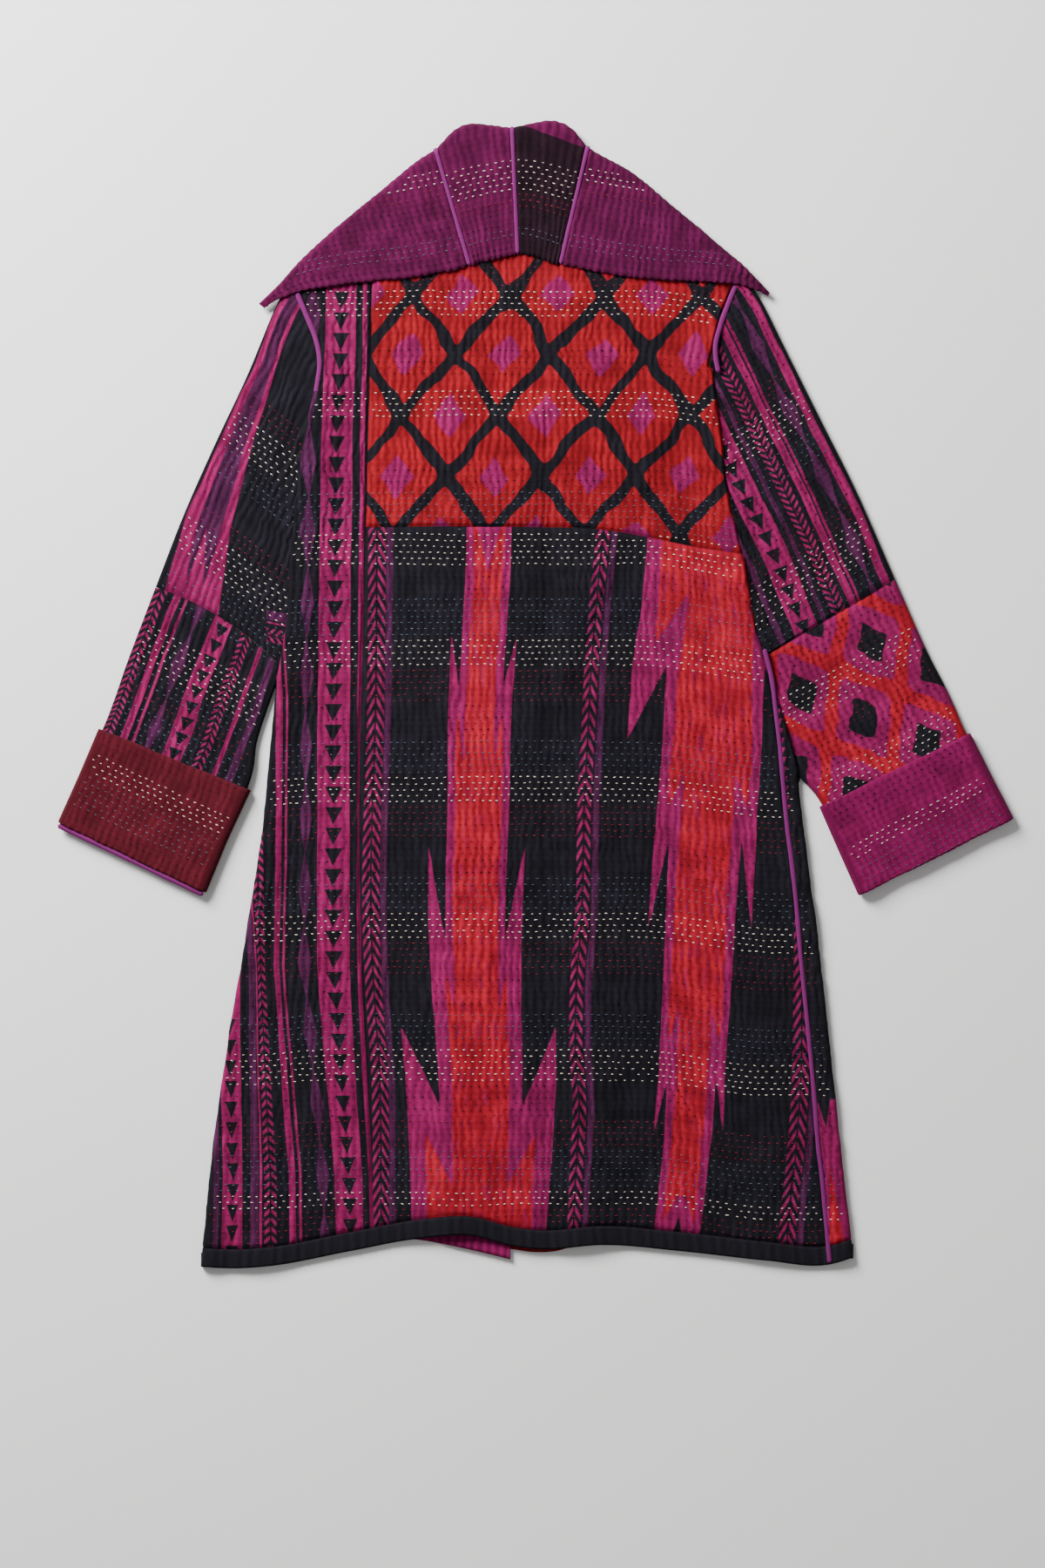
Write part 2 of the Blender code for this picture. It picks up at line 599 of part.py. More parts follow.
def sleeve_side(sections, y, side):
    """X of the line beside a sleeve's armhole and inner edge, where a front panel ends."""
    edge = straight(y, [s.iy for s in sections], [s.ix for s in sections])
    if y > sections[0].iy:
        edge = armhole_x(sections[0], y)
    return float(edge) - side * HIDDEN_GAP


def turned_side(outline, y, side, crotch):
    """X where the cloth turned under at a side edge ends; above the crotch none is."""
    if y > crotch:
        return side
    return float(outline(y)) - side * (RETURN + LEFT_EDGE[-1].height / 2 + 2 * SEAM)


def front_left_side(y):
    turned = turned_side(left_edge, y, -1, LEFT_CROTCH)
    return max(sleeve_side(LEFT_UPPER + LEFT_LOWER, y, -1), turned)


def front_right_side(y):
    turned = turned_side(right_edge, y, 1, RIGHT_CROTCH)
    return min(sleeve_side(RIGHT_UPPER + RIGHT_LOWER, y, 1), turned)


def sleeve_ring(section, columns):
    """Points round a flattened sleeve: outer edge, top, inner edge, underside."""
    length = math.dist((section.ox, section.oy), (section.ix, section.iy))
    outer, inner = section.outer / 2, section.inner / 2
    path = []
    for step in range(ROLL_STEPS):
        angle = math.pi * (1 - step / ROLL_STEPS)
        path.append((outer - outer * math.sin(angle), outer + outer * math.cos(angle)))
    for c in range(columns + 1):
        along = mix(outer, length - inner, c / columns)
        z = section.middle
        for height, inward in ((section.outer, along), (section.inner, length - along)):
            z = mix(z, height, 1 - ease((inward - BLEND_FLAT) / SLEEVE_BLEND))
        path.append((along, float(z)))
    for step in range(1, ROLL_STEPS + 1):
        angle = math.pi * step / ROLL_STEPS
        path.append((length - inner + inner * math.sin(angle), inner + inner * math.cos(angle)))
    for share in UNDERSIDE:
        path.append((mix(outer, length - inner, share), 0))
    return [(*section_point(section, along / length), z + section.lift) for along, z in path]


def moved(section, by):
    """The section shifted down the sleeve."""
    run = np.array([section.ix - section.ox, section.iy - section.oy])
    down = np.array([run[1], -run[0]]) / np.linalg.norm(run)
    if down[1] > 0:
        down = -down
    return section._replace(ox=section.ox + down[0] * by, oy=section.oy + down[1] * by,
                            ix=section.ix + down[0] * by, iy=section.iy + down[1] * by)


def ring_picks(columns):
    lead = ROLL_STEPS
    top = list(range(lead, lead + columns, PICK)) + [lead + columns]
    return list(range(lead)) + top + list(range(lead + columns + 1, lead + columns + ROLL_STEPS + len(UNDERSIDE) + 1))


def ring_ripples(rows, columns, total, fade):
    height = np.zeros((rows, total))
    inward = np.minimum(np.arange(columns + 1), np.arange(columns + 1)[::-1])
    height[:, ROLL_STEPS:ROLL_STEPS + columns + 1] = ripples(rows, columns + 1, ease(inward / EDGE_FADE))
    return height * np.array(fade)[:, None]


def facing_out(base):
    """The rings in the order that makes their directions point outward."""
    underside = cloth_normals(base, True)[:, -2, 2].sum()
    return base if underside < 0 else base[::-1]


def add_sleeve(name, sections, fade):
    base = np.array([sleeve_ring(s, SLEEVE_COLUMNS) for s in sections])
    height = ring_ripples(len(sections), SLEEVE_COLUMNS, base.shape[1], fade)
    turned = facing_out(base)
    if turned is not base:
        height = height[::-1]
    add_cloth(name, "printed_cloth", turned, height, ring_picks(SLEEVE_COLUMNS), True)


def add_cuff(name, material, sections):
    """The turned-back sleeve end, with its fold rounded over the sleeve's edge."""
    first, middle, last = sections
    start = moved(last, -FOLD_RADIUS)
    rings = [first, middle, start]
    for angle in (math.pi / 4, math.pi / 2):
        inset = FOLD_RADIUS * (1 - math.cos(angle))
        rings.append(shrunk(moved(start, FOLD_RADIUS * math.sin(angle)), inset))
    rings.append(shrunk(moved(start, FOLD_RADIUS), FOLD_RADIUS + FOLD_LIP))
    base = facing_out(np.array([sleeve_ring(s, CUFF_COLUMNS) for s in rings]))
    fade = [0.9, 1, 1, 0.4, 0, 0]
    if base[0, 0, 1] < base[-1, 0, 1]:
        fade = fade[::-1]
    height = ring_ripples(len(rings), CUFF_COLUMNS, base.shape[1], fade)
    add_cloth(name, material, base, height, ring_picks(CUFF_COLUMNS), True)


def shrunk(section, inset):
    """The section drawn in all round."""
    run = np.array([section.ix - section.ox, section.iy - section.oy])
    run = run / np.linalg.norm(run) * inset
    return section._replace(
        ox=section.ox + run[0], oy=section.oy + run[1], ix=section.ix - run[0], iy=section.iy - run[1],
        middle=section.middle - 2 * inset, outer=section.outer - 2 * inset,
        inner=section.inner - 2 * inset, lift=section.lift + inset)


def collar_line(at):
    """Points across the collar at one place along it: loose edge, fold, cloth under it."""
    rows = np.arange(len(COLLAR))
    tx, ty, ex, ey = (float(smooth(at, rows, column(COLLAR, n))) for n in ("tx", "ty", "ex", "ey"))
    fold, edge, roll, under = (
        float(straight(at, rows, column(COLLAR, n))) for n in ("fold", "edge", "roll", "under"))
    top, run = np.array([tx, ty]), np.array([ex - tx, ey - ty])
    length = np.linalg.norm(run)
    run = run / length
    radius = min(fold / 2, length / 3)
    turn = math.radians(roll)
    path = []
    for share in (1.0, 0.5):
        path.append((mix(radius, length, share), mix(fold, edge, ease(share))))
    for step in range(ROLL_STEPS + 1):
        angle = turn * step / ROLL_STEPS
        path.append((radius - radius * math.sin(angle), fold - radius + radius * math.cos(angle)))
    along, z = path[-1]
    path.append((along - under * math.cos(turn), z - under * math.sin(turn)))
    return [(*(top + run * a), max(float(h), 0)) for a, h in path]


def add_collar(piece):
    places = np.linspace(piece.first, piece.last, piece.columns + 1)
    base = np.array([collar_line(at) for at in places]).swapaxes(0, 1)
    seams = [("column", "first"), ("column", "last")]
    if piece.first == 0:
        seams = seams[1:]
    if piece.last == len(COLLAR) - 1:
        seams = seams[:1]
    base = draw_in(base, seams)
    fade = np.array([1, 1, 1, 0.8, 0.3, 0, 0, 0])
    height = ripples(*base.shape[:2], fade[:, None])
    add_cloth(piece.name, piece.material, base, height, spaced_picks(0, piece.columns, 0))


def add_lapel(lapel):
    """A flat piece under a front, from the collar's turned-under edge to its foot."""
    base = []
    for at in np.linspace(lapel.first, lapel.last, LAPEL_STEPS):
        line = collar_line(at)
        end, before = np.array(line[-1][:2]), np.array(line[-2][:2])
        run = (end - before) / np.linalg.norm(end - before)
        top = end + run * HIDDEN_GAP
        share = (at - lapel.first) / (lapel.last - lapel.first) - 0.5
        foot = np.array([lapel.foot_x + share * lapel.foot_width, lapel.foot_y])
        base.append([(*mix(top, foot, s), 0.0) for s in (0, 0.3, 0.6, 1)])
    base = np.array(base)
    add_wall(lapel.name, "magenta_cloth", base, base + np.array([0, 0, CLOTH]), [0, 1, 2, 3], False)


def build():
    add_back_strip()
    add_back_panel("back_yoke", 0, 1, [("column", "first"), ("row", "first")])
    add_back_panel("back_skirt", 1, 2, [("column", "first"), ("column", "last"),
                                        ("row", "first"), ("row", "last")])
    add_side_strip()
    add_hem_band()
    add_front("front_left", "lining_fuchsia", front_left_side, LEFT_FRONT_HEM,
              LEFT_FRONT_EDGE, ["lapel_left", "overlap"])
    add_front("front_right", "lining_red", front_right_side, RIGHT_FRONT_HEM,
              RIGHT_FRONT_EDGE, ["lapel_right"])
    add_sleeve("sleeve_left_upper", LEFT_UPPER, [0.3, 1, 1, 1, 1, 1])
    add_sleeve("sleeve_left_lower", [moved(LEFT_UPPER[-1], SEAM)] + LEFT_LOWER, [1, 1, 1, 0, 0])
    add_sleeve("sleeve_right_upper", RIGHT_UPPER, [0.3, 1, 1, 1, 1, 1])
    add_sleeve("sleeve_right_lower", [moved(RIGHT_UPPER[-1], SEAM)] + RIGHT_LOWER, [1, 1, 1, 1, 0, 0])
    add_cuff("cuff_left", "brick_cloth", LEFT_CUFF)
    add_cuff("cuff_right", "magenta_cloth", RIGHT_CUFF)
    for piece in COLLAR_PIECES:
        add_collar(piece)
    for lapel in LAPELS:
        add_lapel(lapel)


for old in list(bpy.data.objects):
    bpy.data.objects.remove(old, do_unlink=True)
coat = bpy.data.collections.new("kantha_coat")
bpy.context.scene.collection.children.link(coat)
build()
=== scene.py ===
import math
from collections import namedtuple

import bpy
import numpy as np
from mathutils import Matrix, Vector


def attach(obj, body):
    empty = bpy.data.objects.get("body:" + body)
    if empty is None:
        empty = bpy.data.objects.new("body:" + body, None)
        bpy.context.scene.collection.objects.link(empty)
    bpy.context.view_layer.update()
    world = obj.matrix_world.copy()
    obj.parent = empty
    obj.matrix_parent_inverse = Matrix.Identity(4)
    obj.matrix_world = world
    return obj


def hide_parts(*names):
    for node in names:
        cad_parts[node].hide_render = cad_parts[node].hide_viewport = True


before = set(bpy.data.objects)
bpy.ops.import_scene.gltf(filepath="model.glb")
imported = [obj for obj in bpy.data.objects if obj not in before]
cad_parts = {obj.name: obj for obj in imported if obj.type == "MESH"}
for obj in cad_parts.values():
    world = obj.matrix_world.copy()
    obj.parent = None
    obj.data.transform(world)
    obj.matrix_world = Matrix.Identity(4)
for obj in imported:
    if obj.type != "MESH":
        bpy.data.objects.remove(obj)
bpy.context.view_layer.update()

bl_info = {
    "name": "Kantha coat",
    "version": (1, 0, 0),
    "blender": (4, 5, 0),
    "location": "3D View > Sidebar > Coat",
    "description": "Sews the quilted coat, laid flat on its front, over its plain solids",
    "category": "Add Mesh",
}

# The cut of the coat, as in its solids
CLOTH = 0.0018
LAYER = 0.0022
SEAM = 0.0003
ARMHOLE_GAP = 0.0009
HIDDEN_GAP = 0.0045
HEM_BAND = 0.018
BACK_TOP = 0.0043
RETURN = 0.018
BLEND_FLAT = 0.008
LAPEL_REACH = 0.014
BACK_REACH = 0.020
LIFT_SLOPE = 0.020
SLEEVE_BLEND = 0.025
LEFT_CROTCH = 0.03
RIGHT_CROTCH = -0.06
FOLD_RADIUS = 0.0020
FOLD_LIP = 0.0016
WAIST_Y = 0.13
LOWEST = 0.0001  # no cloth lies lower over the floor

# How finely the cloth is cut up
FINE = 0.0014  # across the ripples
LONG = 0.0030  # along them
STAGGER = 0.45  # every other row of stitches starts this share of a ripple along
ROLL_STEPS = 8
UNDER_STEPS = 4
SEAM_STEPS = (0.0, 0.0007, 0.0015, 0.0028)  # the first lines beside a seam, for its dip
MAIN_WIDTH = 0.40  # of the yoke and the skirt
STRIP_LENGTH, YOKE_LENGTH, SKIRT_LENGTH = 0.95, 0.29, 0.66
STRIP_COLUMNS = 112
SIDE_ROW, SIDE_LENGTH, SIDE_COLUMNS = 1.135, 0.60, 20
SLEEVE_COLUMNS = 130
CUFF_COLUMNS = 112
COLLAR_MIDDLE = 20  # number of the line about halfway down the collar

# The printed patterns are charted in squares of 0.82 mm, counted to the right and down from a corner
# outside the coat, beyond its left shoulder
SQUARE = 0.00082
CHART_X = 615.3
CHART_Y = 797.5
FIRST_ROW = 348  # height of the first row of stitches on the chart

# Side edges of the coat, from the armholes down
Body = namedtuple("Body", "y left right")
BODY = [
    Body(0.3063, -0.2007, 0.1679),
    Body(0.2849, -0.2085, 0.1711),
    Body(0.2440, -0.2175, 0.1769),
    Body(0.1825, -0.2257, 0.1843),
    Body(0.1292, -0.2307, 0.1974),
    Body(0.0799, -0.2331, 0.2056),
    Body(0.0111, -0.2438, 0.2228),
    Body(-0.0701, -0.2520, 0.2458),
    Body(-0.1086, -0.2553, 0.2499),
    Body(-0.2234, -0.2725, 0.2646),
    Body(-0.3300, -0.2905, 0.2769),
    Body(-0.4096, -0.3020, 0.2851),
    Body(-0.5350, -0.3155, 0.2999),
]

# How each side edge is turned: its height, how far the cloth turns round it in degrees, the
# cloth that lies under it, and how far in the edge raises the back
Edge = namedtuple("Edge", "y height roll under blend")
LEFT_EDGE = [
    Edge(0.3400, 0.0062, 8, 0.0003, 0.030),
    Edge(0.3120, 0.0079, 8, 0.0003, 0.040),
    Edge(0.2900, 0.0084, 25, 0.0003, 0.045),
    Edge(0.0200, 0.0084, 25, 0.0003, 0.045),
    Edge(-0.0180, 0.0070, 180, RETURN, 0.032),
    Edge(-0.5400, 0.0070, 180, RETURN, 0.032),
]
RIGHT_EDGE = [
    Edge(0.3500, 0.0062, 8, 0.0003, 0.030),
    Edge(0.3200, 0.0079, 8, 0.0003, 0.040),
    Edge(0.3000, 0.0084, 25, 0.0003, 0.045),
    Edge(-0.0720, 0.0084, 25, 0.0003, 0.045),
    Edge(-0.1000, 0.0070, 180, RETURN, 0.032),
    Edge(-0.5400, 0.0070, 180, RETURN, 0.032),
]

# Seams and edges of the back
Across = namedtuple("Across", "x y")
SHOULDER = [
    Across(-0.2240, 0.3949), Across(-0.1536, 0.4309), Across(-0.0781, 0.4637),
    Across(-0.0453, 0.4547), Across(-0.0166, 0.4514), Across(0.0137, 0.4547),
    Across(0.0449, 0.4637), Across(0.1187, 0.4325), Across(0.1892, 0.3949),
]
YOKE_SEAM = [
    Across(-0.2400, 0.1570), Across(-0.0125, 0.1578), Across(0.0613, 0.1554),
    Across(0.1105, 0.1472), Across(0.1515, 0.1390), Across(0.1949, 0.1324),
    Across(0.2300, 0.1300),
]
HEM = [
    Across(-0.3159, -0.5383), Across(-0.2864, -0.5400), Across(-0.2487, -0.5375),
    Across(-0.1733, -0.5236), Across(-0.1109, -0.5121), Across(-0.0609, -0.5088),
    Across(-0.0232, -0.5186), Across(0.0022, -0.5219), Across(0.0604, -0.5178),
    Across(0.1334, -0.5236), Across(0.2171, -0.5326), Across(0.2769, -0.5363),
    Across(0.2999, -0.5293),
]
LEFT_FRONT_HEM = [
    Across(-0.2940, -0.5342), Across(-0.2487, -0.5335), Across(-0.1733, -0.5203),
    Across(-0.1191, -0.5129), Across(-0.0855, -0.5178), Across(-0.0404, -0.5277),
    Across(-0.0240, -0.5318),
]
RIGHT_FRONT_HEM = [
    Across(-0.0617, -0.5203), Across(-0.0232, -0.5224), Across(-0.0002, -0.5252),
    Across(0.0219, -0.5236), Across(0.0326, -0.5203), Across(0.0604, -0.5145),
    Across(0.1334, -0.5203), Across(0.2171, -0.5293), Across(0.2780, -0.5300),
]
Down = namedtuple("Down", "y x")
STRIP_SEAM = [
    Down(0.4079, -0.1536), Down(0.1554, -0.1601), Down(-0.2070, -0.1651),
    Down(-0.3415, -0.1585), Down(-0.5203, -0.1519),
]
SIDE_SEAM = [
    Down(0.0447, 0.2138), Down(-0.0184, 0.2253), Down(-0.1013, 0.2339),
    Down(-0.1833, 0.2433), Down(-0.2817, 0.2523), Down(-0.3866, 0.2622),
    Down(-0.5318, 0.2761),
]
# The front edges run straight up to the break, then slope out to the neck
LEFT_FRONT_EDGE = [Down(0.4637, -0.0781), Down(0.1292, -0.0240), Down(-0.5318, -0.0240)]
RIGHT_FRONT_EDGE = [Down(0.4637, 0.0449), Down(0.1292, -0.0617), Down(-0.5318, -0.0617)]

# Soft folds down the back: where they are at the waist and the hem, and where they begin
Fold = namedtuple("Fold", "waist hem half_width height top")
FOLDS = [
    Fold(-0.2175, -0.2585, 0.045, 0.0022, 0.05),
    Fold(-0.0617, -0.0822, 0.060, 0.0040, 0.20),
    Fold(0.0531, 0.0432, 0.050, 0.0045, 0.10),
    Fold(0.2071, 0.2235, 0.045, 0.0020, 0.00),
]

# Sections of the sleeves: outer and inner end, bow towards the body, height in the middle and
# at each edge, and how far the section is lifted
Section = namedtuple("Section", "ox oy ix iy bow middle outer inner lift")
LEFT_UPPER = [
    Section(-0.2282, 0.3932, -0.2100, 0.1800, 0.0195, 0.0054, 0.0060, 0.0054, 0),
    Section(-0.2454, 0.3645, -0.2225, 0.1450, 0.010, 0.0046, 0.0062, 0.0054, 0),
    Section(-0.2717, 0.3013, -0.2265, 0.1086, 0.004, 0.0042, 0.0064, 0.0054, 0),
    Section(-0.3028, 0.2349, -0.2290, 0.0759, 0.003, 0.0042, 0.0064, 0.0054, 0),
    Section(-0.3315, 0.1701, -0.2331, 0.0471, 0.006, 0.0042, 0.0064, 0.0054, 0),
    Section(-0.3582, 0.1013, -0.2389, 0.0250, 0.009, 0.0044, 0.0064, 0.0054, 0),
]
LEFT_LOWER = [
    Section(-0.3840, 0.0332, -0.2530, -0.0143, 0.005, 0.0044, 0.0064, 0.0058, 0),
    Section(-0.3971, -0.0045, -0.2626, -0.0447, 0.002, 0.0046, 0.0064, 0.0064, 0.0004),
    Section(-0.4082, -0.0332, -0.2708, -0.0865, 0.0, 0.0052, 0.0064, 0.0064, 0.0021),
    Section(-0.4447, -0.1152, -0.3127, -0.1800, 0.0, 0.0054, 0.0064, 0.0064, 0.0021),
]
RIGHT_UPPER = [
    Section(0.1933, 0.3981, 0.1760, 0.1800, -0.022, 0.0054, 0.0060, 0.0054, 0),
    Section(0.2113, 0.3727, 0.1900, 0.1450, -0.012, 0.0046, 0.0062, 0.0054, 0),
    Section(0.2376, 0.3202, 0.1965, 0.1004, -0.005, 0.0042, 0.0064, 0.0054, 0),
    Section(0.2687, 0.2579, 0.2007, 0.0759, -0.003, 0.0042, 0.0064, 0.0054, 0),
    Section(0.3023, 0.1906, 0.2064, 0.0512, 0.0, 0.0042, 0.0064, 0.0054, 0),
    Section(0.3384, 0.1086, 0.2105, 0.0332, 0.0, 0.0044, 0.0064, 0.0054, 0),
]
RIGHT_LOWER = [
    Section(0.3671, 0.0439, 0.2269, -0.0184, 0.0, 0.0044, 0.0064, 0.0056, 0),
    Section(0.3852, 0.0086, 0.2384, -0.0529, 0.0, 0.0044, 0.0064, 0.0056, 0),
    Section(0.3958, -0.0143, 0.2474, -0.0758, 0.0, 0.0046, 0.0064, 0.0060, 0.0004),
    Section(0.4057, -0.0373, 0.2699, -0.1046, 0.0, 0.0052, 0.0064, 0.0064, 0.0021),
    Section(0.4450, -0.1136, 0.3060, -0.1833, 0.0, 0.0054, 0.0064, 0.0064, 0.0021),
]
LEFT_CUFF = [
    Section(-0.4119, -0.0324, -0.2684, -0.0906, 0.0, 0.0097, 0.0107, 0.0107, 0),
    Section(-0.4307, -0.0767, -0.2905, -0.1382, 0.0, 0.0097, 0.0107, 0.0107, 0),
    Section(-0.4502, -0.1200, -0.3105, -0.1868, 0.0, 0.0097, 0.0107, 0.0107, 0),
]
RIGHT_CUFF = [
    Section(0.4093, -0.0365, 0.2671, -0.1062, 0.0, 0.0097, 0.0107, 0.0107, 0),
    Section(0.4294, -0.0767, 0.2843, -0.1455, 0.0, 0.0097, 0.0107, 0.0107, 0),
    Section(0.4502, -0.1168, 0.3040, -0.1894, 0.0, 0.0097, 0.0107, 0.0107, 0),
]

# The collar from tip to tip: its fold on top, its loose edge, their heights, how far the cloth
# turns at the fold in degrees, and the cloth that lies under it
Collar = namedtuple("Collar", "tx ty ex ey fold edge roll under")
COLLAR = [
    Collar(-0.2610, 0.3680, -0.2560, 0.3640, 0.0062, 0.0062, 60, 0.0003),
    Collar(-0.2421, 0.3862, -0.2370, 0.3740, 0.0086, 0.0090, 75, 0.0003),
    Collar(-0.2216, 0.4087, -0.2118, 0.3817, 0.0096, 0.0096, 180, 0.0006),
    Collar(-0.1782, 0.4480, -0.1651, 0.3879, 0.0098, 0.0096, 180, 0.0180),
    Collar(-0.1454, 0.4744, -0.1208, 0.3924, 0.0098, 0.0096, 180, 0.0200),
    Collar(-0.1134, 0.5006, -0.0847, 0.3981, 0.0100, 0.0096, 180, 0.0220),
    Collar(-0.0945, 0.5135, -0.0622, 0.4030, 0.0102, 0.0096, 180, 0.0600),
    Collar(-0.0773, 0.5309, -0.0503, 0.4071, 0.0104, 0.0090, 180, 0.0700),
    Collar(-0.0617, 0.5375, -0.0396, 0.4096, 0.0106, 0.0084, 180, 0.0750),
    Collar(-0.0412, 0.5359, -0.0281, 0.4120, 0.0106, 0.0080, 180, 0.0750),
    Collar(-0.0224, 0.5338, -0.0171, 0.4141, 0.0104, 0.0078, 180, 0.0750),
    Collar(-0.0027, 0.5379, -0.0035, 0.4133, 0.0106, 0.0080, 180, 0.0750),
    Collar(0.0170, 0.5400, 0.0080, 0.4096, 0.0106, 0.0086, 180, 0.0750),
    Collar(0.0342, 0.5326, 0.0162, 0.4063, 0.0104, 0.0092, 180, 0.0700),
    Collar(0.0490, 0.5155, 0.0231, 0.4043, 0.0102, 0.0096, 180, 0.0600),
    Collar(0.0686, 0.5039, 0.0465, 0.4002, 0.0100, 0.0096, 180, 0.0220),
    Collar(0.0916, 0.4908, 0.0777, 0.3948, 0.0098, 0.0096, 180, 0.0200),
    Collar(0.1219, 0.4654, 0.1137, 0.3907, 0.0098, 0.0096, 180, 0.0200),
    Collar(0.1597, 0.4342, 0.1547, 0.3887, 0.0098, 0.0096, 180, 0.0160),
    Collar(0.1925, 0.4063, 0.1884, 0.3866, 0.0096, 0.0096, 180, 0.0006),
    Collar(0.2089, 0.3905, 0.2072, 0.3809, 0.0086, 0.0090, 75, 0.0003),
    Collar(0.2205, 0.3780, 0.2185, 0.3752, 0.0062, 0.0062, 60, 0.0003),
]
# Each collar piece: its first and last row in that table
Piece = namedtuple("Piece", "name first last material")
COLLAR_PIECES = [
    Piece("collar_wing_left", 0, 6, "magenta_cloth"),
    Piece("collar_wedge_left", 6, 10, "magenta_cloth"),
    Piece("collar_wedge_dark", 10, 14, "plum_cloth"),
    Piece("collar_wing_right", 14, 21, "magenta_cloth"),
]

# The lapels lie under the fronts. Each has its top edge along the collar, and a foot
Lapel = namedtuple("Lapel", "name first last foot_x foot_y foot_width")
LAPELS = [
    Lapel("lapel_left", 3.1, 5.0, -0.0810, 0.1350, 0.012),
    Lapel("lapel_right", 15.15, 17.9, 0.0480, 0.1350, 0.012),
]
LIFTED_BY = {
    "lapel_left": [(-0.0700, 0.5100), (-0.1960, 0.4120), (-0.0810, 0.1350)],
    "lapel_right": [(0.0480, 0.1350), (0.1630, 0.4120), (0.0370, 0.5100)],
    "overlap": [(-0.0617, -0.5400), (-0.0240, -0.5400), (-0.0240, 0.2400), (-0.0617, 0.2400)],
}


def column(table, name):
    return np.array([getattr(row, name) for row in table], float)


def smooth(at, places, values):
    """A cubic curve through (places, values), read at `at`."""
    order = np.argsort(places)
    p, v = np.asarray(places)[order], np.asarray(values)[order]
    slopes = np.gradient(v, p)
    at = np.clip(at, p[0], p[-1])
    i = np.clip(np.searchsorted(p, at) - 1, 0, len(p) - 2)
    h = p[i + 1] - p[i]
    t = (at - p[i]) / h
    rise = v[i] * (2 * t**3 - 3 * t**2 + 1) + v[i + 1] * (3 * t**2 - 2 * t**3)
    return rise + h * (slopes[i] * (t**3 - 2 * t**2 + t) + slopes[i + 1] * (t**3 - t**2))


def straight(at, places, values):
    order = np.argsort(places)
    return np.interp(at, np.asarray(places)[order], np.asarray(values)[order])


def read(table, key, name, at, curve=smooth):
    return curve(at, column(table, key), column(table, name))


def ease(t):
    """0 to 1 with a soft start and end."""
    return 0.5 - 0.5 * np.cos(np.pi * np.clip(t, 0, 1))


def mix(a, b, share):
    return a + (b - a) * share


def section_point(section, share):
    """A place on a section's line, from its outer end (0) to its inner end (1)."""
    outer, inner = np.array([section.ox, section.oy]), np.array([section.ix, section.iy])
    run = inner - outer
    sideways = np.array([-run[1], run[0]]) / np.linalg.norm(run)
    return outer + run * share + sideways * section.bow * 4 * share * (1 - share)


def armhole_x(section, y):
    line = np.array([section_point(section, s) for s in np.linspace(0, 1, 80)])
    return straight(y, line[:, 1], line[:, 0])


def left_edge(y):
    seam = armhole_x(LEFT_UPPER[0], y) + ARMHOLE_GAP
    return np.where(y > BODY[0].y, seam, read(BODY, "y", "left", y))


def right_edge(y):
    seam = armhole_x(RIGHT_UPPER[0], y) - ARMHOLE_GAP
    return np.where(y > BODY[0].y, seam, read(BODY, "y", "right", y))


def edge_at(table, y):
    return {name: read(table, "y", name, y, straight) for name in Edge._fields[1:]}


def outside(polygon, x, y):
    """How far (x, y) lies outside a convex outline."""
    corners = np.array(polygon)
    centre = corners.mean(axis=0)
    depth = np.full(np.shape(x), -1.0)
    for start, end in zip(corners, np.roll(corners, -1, axis=0)):
        run = (end - start) / np.linalg.norm(end - start)
        out = np.array([run[1], -run[0]])
        if np.dot(out, centre - start) > 0:
            out = -out
        depth = np.maximum(depth, (x - start[0]) * out[0] + (y - start[1]) * out[1])
    return depth


def lifted(x, y, reach, names):
    """1 over the named hidden layers, and down to 0 past their edges."""
    share = np.zeros(np.shape(x))
    for name in names:
        share = np.maximum(share, 1 - ease((outside(LIFTED_BY[name], x, y) - reach) / LIFT_SLOPE))
    return share


def folds(x, y):
    height = np.zeros(np.shape(x))
    for fold in FOLDS:
        down = (WAIST_Y - y) / (WAIST_Y - HEM[0].y)
        centre = mix(fold.waist, fold.hem, down)
        grown = ease((fold.top - y) / (fold.top - HEM[0].y))
        height = height + fold.height * grown * (1 - ease(abs(x - centre) / fold.half_width))
    return height


def back_height(x, y):
    """Height of the outer side of the back before its ripples."""
    z = BACK_TOP + LAYER * lifted(x, y, BACK_REACH, LIFTED_BY) + folds(x, y)
    for table, inward in ((LEFT_EDGE, x - left_edge(y)), (RIGHT_EDGE, right_edge(y) - x)):
        edge = edge_at(table, y)
        near = 1 - ease((inward - BLEND_FLAT) / (edge["blend"] - BLEND_FLAT))
        z = mix(z, edge["height"], near)
    return z


def seam_shares(span, gap, count):
    """Shares of a span, closer together beside the seams at both ends."""
    near = np.array(SEAM_STEPS) / span
    middle = np.linspace(near[-1] + gap, 1 - near[-1] - gap, count)
    return np.concatenate([near, middle, 1 - near[::-1]])


def spread_rows(first, last, length, step):
    """Places from first to last, about `step` apart and closer at both ends."""
    return mix(first, last, seam_shares(length, step / length, max(int(length / step), 2)))


def lattice(x, y, size, seed):
    """Smooth unevenness from -1 to 1 whose bumps are about `size` apart."""
    many = 64
    dots = np.random.default_rng(seed).uniform(-1, 1, (many, many))
    u, v = np.asarray(x) / size + 31.3, np.asarray(y) / size + 29.7
    i, j = np.floor(u).astype(int), np.floor(v).astype(int)
    s, t = ease(u - i), ease(v - j)
    i, j, after_i, after_j = i % many, j % many, (i + 1) % many, (j + 1) % many
    return mix(mix(dots[i, j], dots[after_i, j], s), mix(dots[i, after_j], dots[after_i, after_j], s), t)


def chart_x(u):
    return (np.asarray(u, float) - CHART_X) * SQUARE


def chart_y(v):
    return (CHART_Y - np.asarray(v, float)) * SQUARE


def on_chart(x, y):
    return x / SQUARE + CHART_X, CHART_Y - y / SQUARE


